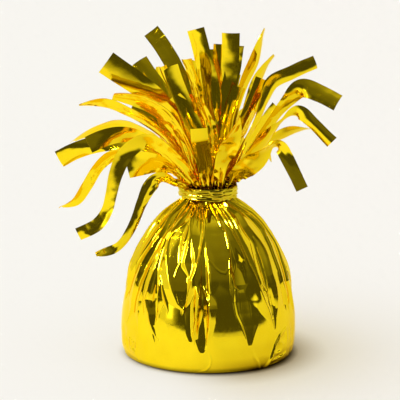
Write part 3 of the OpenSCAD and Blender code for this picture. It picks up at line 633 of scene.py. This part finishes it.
# As in the CAD source: ring, azimuth in the neck, and knots of place, turn and width share
FRONT_SHARES = [
    # Front and right, outer sheet
    [0, -90, [[-0.7, -11, 7, 0, 0.8], [-1.9, -18, 15, 0, 0.9], [-3.2, -28, 22.5, 0, 0.96],
     [-3.4, -40, 28, 0, 0.96]]],
    [0, -64, [[5, -12, 10.5, 25, 1], [6.8, -16, 16.7, 15, 1.1], [8.7, -20, 22.2, 30, 1],
     [10, -24, 29.1, 82, 0.9]]],
    [0, -38, [[11.6, -12, 7.7, 20, 1.2], [17, -16, 13, 15, 1.3], [21.6, -19, 18.3, 60, 1],
     [25, -20.5, 19.2, 40, 0.9], [27.3, -21.5, 15.8, 20, 0.78], [30, -23, 10.5, 5, 0.74],
     [33.1, -25, 4.4, 0, 0.74]]],
    [0, -13, [[13, -4, 8.5, 75, 0.75], [20.5, -6, 16.6, 60, 0.9], [26.2, -8, 21, 45, 0.95],
     [30.6, -9.5, 23.1, 55, 0.95], [36.3, -11, 24, 85, 0.9]]],
    [1, -75, [[4.4, -10.5, 11.5, 40, 0.8], [9.2, -12.5, 18.1, 60, 0.9], [12.9, -13.5, 23.3, 65, 0.95],
     [16.3, -14.5, 31.1, 70, 0.9]]],
    [1, -45, [[10, -8, 8.5, 40, 0.72], [17, -11.5, 16.1, 35, 0.85], [22.3, -14, 23.7, 50, 0.95],
     [26.8, -16, 28.8, 75, 0.95], [31.9, -18, 31, 20, 0.9], [37, -20, 27.2, 0, 0.7],
     [43.5, -22, 20.6, 0, 0.76]]],
    [1, -15, [[11, -4, 8, 70, 0.72], [17.5, -5.5, 17.6, 65, 0.85], [24.4, -7.5, 28.2, 60, 0.9],
     [29.3, -9, 34.4, 45, 1], [33.5, -10.5, 38.2, 10, 1.1], [39.5, -13, 36.8, 0, 1.03],
     [46, -16, 33.8, 0, 1]]],
    [1, 15, [[10.5, 1.2, 8.5, 95, 0.72], [16.1, 2.5, 16.8, 80, 0.85], [20.9, 4, 24.1, 70, 0.95],
     [25.2, 5.5, 29.3, 60, 0.95]]],
    # Front and left, outer sheet
    [0, -116, [[-8.6, -12.3, 9.5, -30, 0.8], [-15, -16, 16.4, -40, 0.9], [-21.9, -19, 20.8, -35, 1],
     [-29.1, -21, 16.6, -15, 0.95], [-32.7, -22, 9.6, 0, 0.8], [-34.6, -22, 1.9, 10, 0.66],
     [-36.2, -21.5, -4.2, 20, 0.7], [-39.8, -21, -9.4, 10, 0.76], [-46.6, -20, -13.1, 0, 0.75]]],
    [0, -141, [[-11.8, -8, 3.6, -60, 0.8], [-16.8, -11.5, 5.7, -20, 1], [-20.9, -14, 3.6, 0, 0.9],
     [-24.1, -15.5, -2.8, 0, 0.66], [-27.8, -17, -11.8, 0, 0.56], [-32.6, -18.5, -18.1, 0, 0.52],
     [-40.4, -20, -20.3, 80, 0.56]]],
    [0, -167, [[-12, -3, 6, -80, 0.7], [-20, -4, 11.6, -60, 0.8], [-28, -4, 14.2, -50, 0.85],
     [-35.2, -3, 12.1, -35, 0.85], [-40.5, -1, 7.2, -25, 0.72], [-44.7, 1, 0.2, -10, 0.66],
     [-49, 3, -5.9, -30, 0.62], [-54.6, 5, -8.6, -85, 0.6]]],
    [0, 167, [[-11.5, 3, 6.5, -105, 0.7], [-18, 4.5, 11.2, -115, 0.9], [-26.1, 6, 14.7, -125, 0.9],
     [-34.2, 7.5, 15.4, -140, 0.95], [-42.9, 9, 14.2, -165, 1], [-49.4, 10, 11.9, -180, 1.05],
     [-55.5, 11, 8.8, -180, 1.08]]],
    [1, -105, [[-1.5, -9, 9.5, -10, 0.72], [-2.2, -10.5, 18.5, 0, 0.9], [-6, -12.5, 28.7, 0, 1],
     [-9.6, -14.5, 38.3, 0, 1], [-11.7, -17, 45.6, 0, 0.95]]],
    [1, -135, [[-10.5, -6.8, 6.5, -45, 0.8], [-16.5, -8.5, 10, -30, 1.2], [-23, -9.5, 11, -15, 1.5],
     [-29.3, -10.5, 9.6, 0, 1.3]]],
    [1, -165, [[-10.5, -2.5, 8.5, -80, 0.72], [-16.5, -5, 14.3, -60, 0.9], [-22.8, -7.5, 19.1, -45, 0.9],
     [-28.9, -9.5, 21.4, -30, 0.95], [-36.8, -12, 20.7, -10, 1], [-42.9, -14, 18.4, 0, 1]]],
    [1, 165, [[-9, 3, 8.5, -100, 0.72], [-15.5, 6.5, 14.9, -75, 0.85], [-24.1, 9.5, 20, -70, 0.9],
     [-33.2, 12.5, 22.1, -60, 0.9], [-41.4, 15, 19.3, -55, 0.9], [-50.8, 18, 14, -85, 0.9]]],
    # Front and right, inner sheet
    [2, -90, [[0.2, -7.2, 10, -10, 0.72], [0.7, -8.2, 22, -30, 0.85], [-3, -8.5, 33, -50, 0.95],
     [-5.4, -9, 41.6, -55, 0.95], [-7.8, -9.5, 48.7, -55, 0.95]]],
    [2, -54, [[4.6, -6.5, 8, 40, 0.72], [6, -8, 17, 45, 0.8], [8.5, -8.5, 27, 48, 0.9],
     [12.3, -9, 37.6, 50, 0.85]]],
    [2, -18, [[8.5, -2, 8, 75, 0.72], [13.5, -2, 18, 65, 0.8], [18, -1, 26.5, 55, 0.88],
     [20.6, 0.5, 33.4, 40, 0.92], [23.4, 2, 38.8, 15, 0.92], [30.2, 5, 41.8, 5, 0.85],
     [39.2, 9, 45.4, 0, 0.8]]],
    [2, 18, [[7.6, 3, 9, 95, 0.72], [11.8, 5, 21, 75, 0.85], [15.2, 7, 31.9, 60, 0.95],
     [18.6, 8.5, 39.9, 55, 0.95], [23.8, 11, 47.5, 85, 0.95]]],
    [3, -67, [[2.6, -5, 9, 15, 0.65], [3.9, -5.5, 21, 0, 0.8], [6.2, -6.5, 32.5, 0, 0.88],
     [8.8, -7.5, 43.6, 0, 0.9], [10, -9, 51.8, 0, 0.9]]],
    [3, -22, [[6, -1.5, 10, 65, 0.65], [11.2, -0.5, 20.5, 65, 0.85], [15.8, 1.8, 30, 60, 0.9],
     [19.6, 3, 40, 60, 0.9]]],
    [3, 23, [[5.2, 2.6, 10, 100, 0.65], [8.3, 4.4, 22, 70, 0.8], [12.6, 8, 36.3, 55, 0.95],
     [16.9, 11, 45.8, 50, 0.98], [20.6, 14, 56.9, 86, 0.95]]],
    [4, -90, [[0.7, -3.6, 10.5, 0, 0.65], [1.4, -3.6, 25, 0, 0.95], [1, -3.4, 37, 0, 1.05],
     [-1.4, -2.8, 46.5, 0, 1.1], [-4.7, -2, 58.5, 0, 1.14]]],
    [4, -30, [[3.2, -1.5, 10, 50, 0.65], [4.4, -1.8, 22, 20, 0.8], [6.6, -2.2, 36, 0, 0.95],
     [7.8, -2.8, 46, 0, 1], [8, -3.4, 57.3, 0, 1.04]]],
    [4, 30, [[2.9, 1.8, 10, 125, 0.65], [3.6, 2, 25, 145, 0.88], [4.2, 2.5, 40, 170, 0.9],
     [4.7, 3, 52.6, 180, 0.9]]],
    # Front and left, inner sheet
    [2, -126, [[-5.4, -6.6, 9, -35, 0.72], [-9, -9.5, 18.1, -30, 0.85], [-14, -12.5, 26.8, -25, 1],
     [-19.7, -15, 31.9, -20, 1], [-26.6, -17.5, 35.2, -20, 0.95], [-33.5, -19, 36.5, -40, 0.8]]],
    [2, -162, [[-7.5, -1.9, 9, -75, 0.72], [-13.5, -4, 17.5, -60, 0.8], [-20.5, -7, 24.1, -60, 0.95],
     [-28.5, -9.5, 29.5, -55, 0.95], [-36.8, -11, 33.1, -55, 0.95], [-46.2, -12, 32.4, -85, 0.9]]],
    [2, 162, [[-7, 2.1, 10, -110, 0.72], [-12, 0.5, 19, -125, 0.8], [-17.3, -0.5, 25.3, -140, 0.95],
     [-22.1, -1, 28.1, -145, 0.95], [-27.7, -1.5, 30.4, -145, 0.95]]],
    [3, -112, [[-2.9, -4.9, 10.5, -20, 0.65], [-5.4, -6.3, 20.5, -20, 0.88], [-8.4, -8, 29.6, -15, 0.95],
     [-12.4, -11, 35.1, -10, 0.95]]],
    [3, -157, [[-5.2, -2.1, 10.5, -60, 0.65], [-9.9, -3.3, 20.6, -40, 0.9], [-14.5, -5.5, 29.7, -25, 1.1],
     [-19.9, -7.5, 35.4, -15, 1.25], [-27.3, -9.5, 41, 0, 1.35], [-36.4, -12, 47.7, 0, 1.42]]],
    [3, 158, [[-5.2, 2.1, 11, -115, 0.65], [-9, 3, 21.9, -135, 0.85], [-15, 5, 32.2, -160, 0.95],
     [-21.2, 7.5, 39.9, -175, 1], [-25.3, 10, 45.7, -180, 1]]],
    [2, 126, [[-5, 5.8, 10, -146, 0.72], [-9, 9, 20.9, -155, 0.85], [-14.6, 11, 32.2, -165, 0.95],
     [-17.7, 12, 38.3, -180, 0.95], [-18.7, 12.5, 43.1, -225, 0.95]]],
    [4, -150, [[-3.2, -1.4, 11, -60, 0.65], [-6.2, -1.6, 21, -60, 0.85], [-10.2, -1.4, 31, -60, 0.95],
     [-14, -0.8, 39.5, -60, 0.95], [-16.5, -0.4, 45, -60, 0.9]]],
    [4, 150, [[-3.2, 2.2, 11, -130, 0.65], [-5, 4, 22, -150, 0.85], [-8.3, 6, 34.9, -175, 0.95],
     [-12.6, 8, 44.2, -180, 1], [-16.9, 11, 50.9, -180, 1], [-21.1, 14, 56.3, -180, 1]]]
]
# As in the CAD source: ring, azimuth in the neck and at the tip, arch, and shares of its reach
# and rise, and the twist at the tip
BACK_SHARES = [
    [0, 13, 36, 0, 0.62, 0.9, 30], [0, 39, 55, 0, 0.8, 1, -25], [0, 64, 73, 0, 1, 1.1, 20],
    [0, 90, 91, 0, 0.95, 0.8, -35], [0, 116, 109, 0, 1.05, 1, 15], [0, 141, 128, 0, 0.8, 1.05, -20],
    [1, 45, 62, 1, 0.85, 0.9, -30], [1, 75, 84, 1, 0.9, 1, 25], [1, 105, 100, 1, 1, 1.05, -15],
    [1, 135, 121, 1, 0.85, 0.95, 35], [2, 54, 70, 2, 0.9, 0.95, 20], [2, 90, 100, 2, 1, 0.9, -25],
    [3, 68, 80, 3, 1, 0.95, -20], [3, 113, 105, 3, 1, 0.9, 25], [4, 90, 95, 4, 1, 0.95, -10]
]
# Knots of each arch: how far out and how high
ARCH_SHARES = [
    [[5, 8], [13, 14], [23, 15.5], [33, 10]],
    [[4, 10], [11, 20.5], [20, 27.5], [31, 28.5]],
    [[2.4, 11], [8, 24], [15, 35], [24, 41]],
    [[2, 11], [5, 24.5], [10, 38], [17, 49]],
    [[1, 12], [2.5, 26], [5, 40], [9, 52]]
]
ARCH_WIDTH_SHARES = [0.75, 0.92, 1, 1]
# Looks of single strips: bow across, folds at the root and how far they run, crinkle, slow wave,
# roll and twist in degrees, lean back per millimetre, how much is cut off the tip, and its curl
LOOKS = {
    1: {"folds": 2.0, "run": 12, "crinkle": 0.05, "wave": 0.1, "cut": 9.6, "curl": 0.9, "bow": 0.1},
    3: {"roll": 8, "twist": -24}, 5: {"folds": 2.5, "run": 40}, 6: {"roll": 8}, 7: {"roll": -17},
    8: {"roll": -28}, 9: {"roll": 2}, 10: {"roll": -20, "twist": 20}, 12: {"roll": -4},
    13: {"roll": 25, "run": 8, "crinkle": 0.03, "wave": 0.2, "lean": -0.08}, 15: {"roll": 14},
    16: {"roll": 6}, 17: {"folds": 2.5, "run": 60, "crinkle": 0.12},
    18: {"roll": -26, "run": 10, "crinkle": 0.04, "lean": -0.1}, 19: {"roll": 1},
    21: {"lean": -0.12}, 22: {"roll": -34, "run": 14}, 24: {"roll": -13, "twist": -14},
    25: {"roll": -6, "folds": 2.0, "run": 34}, 27: {"roll": -14, "run": 40}, 28: {"roll": 6},
    29: {"roll": -14}, 30: {"folds": 2.5, "run": 45, "crinkle": 0.12}, 32: {"roll": 4},
    33: {"roll": -30}, 35: {"roll": 6},
}
STRIP_STEP, STRIP_ACROSS, CURL_LENGTH = 0.7, 12, 5.2
# Where along a strip the roll comes in, in millimetres, and the twist, as shares of its length
ROLL_FROM, ROLL_TO, TWIST_FROM, TWIST_TO = 8, 22, 0.6, 0.95
# Where its folds begin to open and where it begins to lean, and how much of the foil's width
# that the folds take up shows in their height
OPEN_FROM, LEAN_FROM, FOLD_SHARE = 6, 8, 0.6


def outward_turn(azimuth):
    """Turn that a strip in the neck needs to face outwards."""
    return azimuth - 270 if azimuth > 90 else azimuth + 90


def root_rows(ring, azimuth, turn):
    """Radius of a ring in the neck, the azimuth's cosine and sine, and a strip's knots there."""
    c, s = math.cos(math.radians(azimuth)), math.sin(math.radians(azimuth))
    r = RING_SHARES[ring] * NECK_RADIUS
    return r, c, s, [(r * c, r * s, z, turn, ROOT_WIDTH_SHARE * STRIP_WIDTH) for z in ROOT_HEIGHTS]


def all_strips():
    """Ring, knots of place, turn and width, and the direction across of each strip behind."""
    out = []
    for ring, azimuth, knots in FRONT_SHARES:
        _, _, _, rows = root_rows(ring, azimuth, outward_turn(azimuth))
        rows += [(x, y, z, turn, w * STRIP_WIDTH) for x, y, z, turn, w in knots]
        out.append((ring, rows, None))
    for ring, azimuth, tip, arch, reach, rise, twist in BACK_SHARES:
        r, c, s, rows = root_rows(ring, azimuth, 0)
        for i, width in enumerate(ARCH_WIDTH_SHARES):
            part = (i + 1) / len(ARCH_WIDTH_SHARES)
            a = math.radians(azimuth + (tip - azimuth) * part)
            out_r = r + ARCH_SHARES[arch][i][0] * reach
            rows.append((out_r * math.cos(a), out_r * math.sin(a), ARCH_SHARES[arch][i][1] * rise,
                         twist * part, width * STRIP_WIDTH))
        out.append((ring, rows, np.array([-s, c, 0.0])))
    return out


def strip_look(index, own):
    """Looks of a strip: its own random ones, unless LOOKS says otherwise."""
    look = {"bow": own.uniform(-0.5, 0.5), "folds": own.choice([1.5, 2.0, 2.5]),
            "run": own.uniform(18, 32), "crinkle": own.uniform(0.06, 0.14),
            "wave": own.uniform(0.25, 0.5)}
    still = {"roll": 0.0, "lean": 0.0, "twist": 0.0, "cut": 0.0, "curl": 0.0}
    return {**look, **still, **LOOKS.get(index, {})}


def strip_lift(index, look, phase, S, T, W):
    """Height of a strip over its own line, by length S and place across T, -1 to 1. W is its
    half width."""
    free = smooth(S, OPEN_FROM, OPEN_FROM + look["run"])
    folded = 1 - free
    slack = np.sqrt(np.maximum((STRIP_WIDTH * 0.48) ** 2 - W ** 2, 0.0))
    tri = 2 * np.abs(((T * look["folds"] / 2 + phase) % 1) * 2 - 1) - 1
    lift = tri * slack * FOLD_SHARE * folded * smooth(S, 3, 7)
    lift = lift + look["lean"] * np.maximum(S - LEAN_FROM, 0) * smooth(S, LEAN_FROM, 2 * LEAN_FROM)
    lift = lift - look["curl"] * (np.sqrt(np.maximum(S - S[-1:] + CURL_LENGTH, 0) ** 2 + 4) - 2)
    lift = lift + look["bow"] * W * 0.5 * (1 - T ** 2) * (0.4 + 0.6 * free)
    lift = lift + look["wave"] * noise(S / 12, T * 0.7 + 5, 20 + index)
    crinkle = look["crinkle"] * (0.5 + 4.0 * folded)
    return lift + crinkle * creased(S / 3.2, T * 1.3, 60 + index) * smooth(S, 3, 8)


def sheet_faces(rows, cols):
    """Faces of a thin sheet on a grid of points, whose second face's points follow the first's,
    and the sharp edges round it."""
    count = rows * cols
    upper = grid_faces(rows, cols)
    ring = [*range(cols)] + [k * cols + cols - 1 for k in range(1, rows)]
    ring += [(rows - 1) * cols + k for k in range(cols - 2, -1, -1)]
    ring += [k * cols for k in range(rows - 2, 0, -1)]
    edges = neighbours(ring)
    faces = upper.tolist() + (upper[:, ::-1] + count).tolist()
    faces += [[b, a, a + count, b + count] for a, b in edges]
    return faces, edges + [(a + count, b + count) for a, b in edges]


def strip_mesh(index, rows, side):
    own = np.random.default_rng(100 + index)
    look = strip_look(index, own)
    c = curve(rows, STRIP_STEP)
    s = np.concatenate([[0], np.cumsum(np.linalg.norm(np.diff(c[:, :3], axis=0), axis=1))])
    kept = s <= s[-1] - look["cut"]
    c, s = c[kept], s[kept]
    place, width = c[:, :3], c[:, 4]
    roll = look["roll"] * smooth(s, ROLL_FROM, ROLL_TO)
    twist = look["twist"] * smooth(s / s[-1], TWIST_FROM, TWIST_TO)
    turn = np.radians(c[:, 3] + roll + twist)[:, None]
    along = np.empty_like(place)
    along[1:-1] = place[2:] - place[:-2]
    along[0], along[-1] = place[1] - place[0], place[-1] - place[-2]
    along = unit(along)
    if side is None:
        across = unit(np.cross(along, [0, -1, 0]))
    else:
        across = unit(side - (along @ side)[:, None] * along)
    out = np.cross(across, along)
    w = across * np.cos(turn) - out * np.sin(turn)
    n = out * np.cos(turn) + across * np.sin(turn)
    S, T = np.meshgrid(s, np.linspace(-1, 1, STRIP_ACROSS + 1), indexing="ij")
    W = width[:, None] / 2
    lift = strip_lift(index, look, own.uniform(0, 1), S, T, W)
    shift = 0.1 * noise(S / 6, T * 0 + 3, 90 + index)
    centre = place[:, None] + w[:, None] * (W * T + shift)[..., None] + n[:, None] * lift[..., None]
    normal = unit(np.cross(np.gradient(centre, axis=1), np.gradient(centre, axis=0)))
    top, bottom = centre + normal * FOIL_HALF, centre - normal * FOIL_HALF
    points = np.vstack([top.reshape(-1, 3), bottom.reshape(-1, 3)])
    points[:, 2] += FRINGE_Z
    return points, *sheet_faces(*S.shape)


for number, (ring, rows, side) in enumerate(all_strips(), 1):
    sheet_name = "outer" if ring < 2 else "inner"
    points, faces, sharp = strip_mesh(number, rows, side)
    strip = piece(f"foil_strip_{number:02d}", points, faces, foil_strip, sharp)
    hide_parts(f"{sheet_name}_strip_{number:02d}")

# Tie: its windings' start is in front on the left, and its twisted tail behind
TIE_RADIUS, TIE_Z = 9.95, 60.9
TIE_TURNS, TIE_START, TIE_HALF_WIDTH = 2.0, math.radians(90 + 55), 1.25
TIE_STATIONS, TIE_ACROSS = 720, 10
# How far the second winding lies above the level of the tie and how much farther out, how far
# the tie bulges, and how high its creases, its bumps and the waves of its edges are
TIE_RISE, TIE_OUT, TIE_BULGE, TIE_CREASE, TIE_BUMP, TIE_WAVE = 1.0, 0.25, 0.30, 0.34, 0.22, 0.12
TAIL_LENGTH, TAIL_TURNS, TAIL_OFFSET, TAIL_HALF = 11.8, 3.5, 0.3, (0.5, 0.3)
TAIL_STATIONS, TAIL_SIDES = 110, 12


def wound_tie():
    """Points of the flat tie, wound round the neck and crumpled, from front left upwards."""
    q = np.linspace(0, 1, TIE_STATIONS)
    angle = -TIE_START + 2 * math.pi * TIE_TURNS * q
    rise = TIE_Z + 0.15 + TIE_RISE * (2 * smooth(q, 0.42, 0.58) - 1) + 0.15 * np.sin(angle * 2)
    Q, T = np.meshgrid(q, np.linspace(-1, 1, TIE_ACROSS + 1), indexing="ij")
    A = angle[:, None]
    radius = TIE_RADIUS + 0.28 + TIE_BULGE * (1 - T ** 4) + TIE_OUT * smooth(q, 0.4, 0.6)[:, None]
    radius = radius + TIE_CREASE * creased(Q * 30, T * 1.3 + Q * 7, 31)
    radius = radius + TIE_BUMP * noise(Q * 44, T * 0.8, 32)
    z = rise[:, None] + T * TIE_HALF_WIDTH + TIE_WAVE * noise(Q * 30, T * 0.5, 33)
    return np.stack([radius * np.cos(A), radius * np.sin(A), z], -1)


def twisted_ends():
    """Points and faces of the tie's two ends, twisted together behind the neck."""
    q = np.linspace(0, 1, TAIL_STATIONS)[:, None]
    b = np.linspace(0, 2 * math.pi, TAIL_SIDES, endpoint=False)[None, :]
    rings, faces = [], []
    for strand in (0.0, math.pi):
        a = 2 * math.pi * TAIL_TURNS * q + strand
        wide = TAIL_HALF[0] * (1 + 0.15 * creased(q * 26, b / math.pi, 51))
        across, up = wide * np.cos(b), TAIL_HALF[1] * np.sin(b)
        x = TAIL_OFFSET * np.cos(a) - across * np.sin(a) + up * np.cos(a)
        z = TAIL_OFFSET * np.sin(a) + across * np.cos(a) + up * np.sin(a)
        y = TIE_RADIUS + TAIL_LENGTH * q + 0 * b
        start = sum(len(r) for r in rings)
        rings.append(np.stack([x, y, TIE_Z + z], -1).reshape(-1, 3))
        end = start + (TAIL_STATIONS - 1) * TAIL_SIDES
        for i in range(start, end, TAIL_SIDES):
            faces += ring_faces(i, i + TAIL_SIDES, TAIL_SIDES)[:, [0, 3, 2, 1]].tolist()
        faces.append(list(range(start, start + TAIL_SIDES)))
        faces.append(list(range(end, end + TAIL_SIDES))[::-1])
    return np.vstack(rings), faces


tie_points = wound_tie()
tail_points, tail_faces = twisted_ends()
first = tie_points.shape[0] * tie_points.shape[1]
tie_faces = grid_faces(*tie_points.shape[:2])[:, [0, 3, 2, 1]].tolist()
tie_faces += [[first + k for k in face] for face in tail_faces]
tie = piece("tie_foil_windings", np.vstack([tie_points.reshape(-1, 3), tail_points]), tie_faces, foil_tie)
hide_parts("tie_band")

# Studio, in metres. The table's half size, its colour, and how much of it is the floor's own
FLOOR_HALF, FLOOR_RGB, FLOOR_SHARE = 8.0, (0.939, 0.923, 0.871), 0.86
# Where the foil sees the white table fade into the dark room in front and to the right, which
# way that is, the room's level, and how bright the table looks in the foil
TABLE_EDGE, TABLE_EDGE_WAY, ROOM_LEVEL, FLOOR_GLOW = (0.19, 0.46), (0.55, -1.0, 0.0), 0.075, 1.3
# Painted shadow on the floor: how far from the foil the floor's colour is darkened, and the colour it tends
# to there, whose yellow is the foil's painted bounce light
PAINTED_SHADES = [(0.09, (0.66, 0.55, 0.2)), (0.014, (0.16, 0.08, 0.0)), (0.003, (0.03, 0.018, 0.0))]
# The painted shade of this distance is the one that the foil sees all round, so its foot reflects a painted
# contact shadow
CONTACT = 0.003
# From the lit side to the shaded one: across which x, how strong the painted shades are, and how much of the
# table's light is its own glow, painted light that hides the shadow on the lit side
SHADE_SPAN, SHADE_STRENGTH, OWN_LIGHT = (-0.02, 0.02), (0.12, 1.0), (0.75, 0.0)
# Cards round the table: azimuth from the camera's side (right is positive) and elevation in
# degrees, softness of the edges, colour and strength
CARDS = [
    (-180, 180, -90, 90, 4, (1.0, 0.98, 0.93), 0.075),
    (-180, 180, 16, 91, 5, (1.0, 0.98, 0.93), 0.14),
    (-180, 180, 44, 91, 10, (1.0, 0.98, 0.93), 0.22),
    (-180, 180, 66, 91, 10, (1.0, 0.99, 0.96), 0.6),
    (-170, -49, -90, 56, 8, (1.0, 0.99, 0.95), 0.86),
    (98, 200, -90, 46, 12, (1.0, 0.985, 0.95), 0.86),
    (-58, -51, 3, 27, 2.5, (1.0, 0.98, 0.95), 2.2),
    (-58.5, -50.5, 26, 40, 2.0, (1.0, 0.98, 0.95), 260.0),
    (50, 70, 10, 44, 6, (1.0, 0.98, 0.95), 0.34),
]
# The soft tent that lights the matt floor: its colour, its levels on the left and the right,
# and the elevation at which it is half as bright
TENT_RGB, TENT_SIDES, TENT_FOOT = (1.6, 1.6 * 0.99, 1.6 * 0.99), (1.25, 0.6), 25


def studio_floor():
    mesh = bpy.data.meshes.new("floor")
    corners = [(-1, -1), (1, -1), (1, 1), (-1, 1)]
    mesh.from_pydata([(x * FLOOR_HALF, y * FLOOR_HALF, 0) for x, y in corners], [], [(0, 1, 2, 3)])
    obj = bpy.data.objects.new("floor", mesh)
    bpy.context.scene.collection.objects.link(obj)
    material = bpy.data.materials.new("floor")
    mesh.materials.append(material)
    graph = Graph(material)
    spot = graph.node("TexCoord").outputs["Object"]
    path = graph.node("LightPath").outputs
    x = graph.node("SeparateXYZ", {0: spot}).outputs["X"]
    # Painted shadow: the floor's colour is darker and yellower close to the foil, on the side away from the
    # light, with the foil's yellow bounce light painted in
    painted_shade_side = graph.between(x, SHADE_SPAN, SHADE_STRENGTH, "SMOOTHSTEP")
    all_round = graph.maths("MAXIMUM", painted_shade_side, path["Is Glossy Ray"])
    colour = rgba(FLOOR_RGB, FLOOR_SHARE)
    for distance, tint in PAINTED_SHADES:
        open_share = graph.node("AmbientOcclusion", {"Distance": distance}, samples=16).outputs["AO"]
        reach = painted_shade_side if distance > CONTACT else all_round
        shade = graph.maths("MULTIPLY", graph.maths("SUBTRACT", 1.0, open_share), reach)
        colour = graph.mix(shade, colour, rgba(tint))
    shader = graph.tree.nodes["Principled BSDF"]
    graph.put(shader.inputs, {"Base Color": colour, "Roughness": 0.9, "Specular IOR Level": 0.1})
    # Painted light: on the lit side the camera and the foil see part of the floor glow evenly bright, less so
    # close to the foil
    seen = graph.maths("MAXIMUM", path["Is Camera Ray"], path["Is Glossy Ray"])
    level = graph.between(path["Is Glossy Ray"], (0.0, 1.0), (1.0, FLOOR_GLOW))
    glow = graph.node("Emission", {"Color": rgba(FLOOR_RGB), "Strength": level}).outputs[0]
    lit_side = graph.between(painted_shade_side, (0.0, 1.0), OWN_LIGHT)
    share = graph.maths("MULTIPLY", seen, graph.maths("MULTIPLY", lit_side, open_share))
    table = graph.mix_shaders(share, shader.outputs[0], glow)
    # In the foil the white table ends in front, and beyond its edge the room is dark
    ahead = graph.node("VectorMath", {0: spot, 1: TABLE_EDGE_WAY}, operation="DOT_PRODUCT").outputs["Value"]
    beyond = graph.between(ahead, TABLE_EDGE, (0.0, 1.0), "SMOOTHSTEP")
    in_mirror = graph.maths("MULTIPLY", beyond, path["Is Glossy Ray"])
    room = graph.node("Emission", {"Color": rgba(FLOOR_RGB, ROOM_LEVEL), "Strength": 1.0}).outputs[0]
    graph.put(graph.tree.nodes["Material Output"].inputs,
              {"Surface": graph.mix_shaders(in_mirror, table, room)})


def studio_world():
    world = bpy.data.worlds.new("studio")
    bpy.context.scene.world = world
    graph = Graph(world)
    graph.tree.nodes.clear()
    maths = graph.maths
    place = graph.node("TexCoord").outputs["Generated"]
    x, y, z = graph.node("SeparateXYZ", {0: place}).outputs
    azimuth = maths("MULTIPLY", maths("ARCTAN2", x, maths("MULTIPLY", y, -1)), 180 / math.pi)
    elevation = maths("MULTIPLY", maths("ARCSINE", z), 180 / math.pi)

    def edge(value, at, soft, ends):
        return graph.between(value, (at - soft, at + soft), ends, "SMOOTHSTEP")

    def band(value, low, high, soft):
        return maths("MULTIPLY", edge(value, low, soft, (0.0, 1.0)), edge(value, high, soft, (1.0, 0.0)))

    colour = None
    for left, right, low, high, soft, rgb, strength in CARDS:
        card = rgba(rgb, strength)
        if colour is None:
            colour = card
            continue
        mask = band(elevation, low, high, soft)
        if right - left < 360:
            turned_azimuth = azimuth
            if right > 180:  # across the seam behind: measured from there
                turned_azimuth = maths("ADD", azimuth, maths("MULTIPLY", maths("LESS_THAN", azimuth, 0), 360))
            mask = maths("MULTIPLY", mask, band(turned_azimuth, left, right, soft))
        colour = graph.mix(mask, colour, card)
    # What only lights the matt floor: the soft tent round the table, brighter on the left
    tent = graph.between(x, (-1.0, 1.0), TENT_SIDES)
    level = maths("MULTIPLY", tent, edge(elevation, TENT_FOOT, TENT_FOOT, (0.0, 1.0)))
    red, green, blue = (maths("MULTIPLY", level, share) for share in TENT_RGB)
    matt = graph.node("CombineColor", {"Red": red, "Green": green, "Blue": blue}).outputs[0]
    path = graph.node("LightPath").outputs
    direct = maths("MULTIPLY", path["Is Glossy Ray"], maths("LESS_THAN", path["Diffuse Depth"], 0.5))
    lit = graph.mix(direct, matt, colour)
    seen = graph.mix(path["Is Camera Ray"], lit, rgba(FLOOR_RGB))
    back = graph.node("Background", {"Color": seen}).outputs[0]
    graph.node("OutputWorld", {"Surface": back})


studio_floor()
studio_world()
cycles = bpy.context.scene.cycles
cycles.max_bounces, cycles.glossy_bounces, cycles.diffuse_bounces = 16, 14, 4
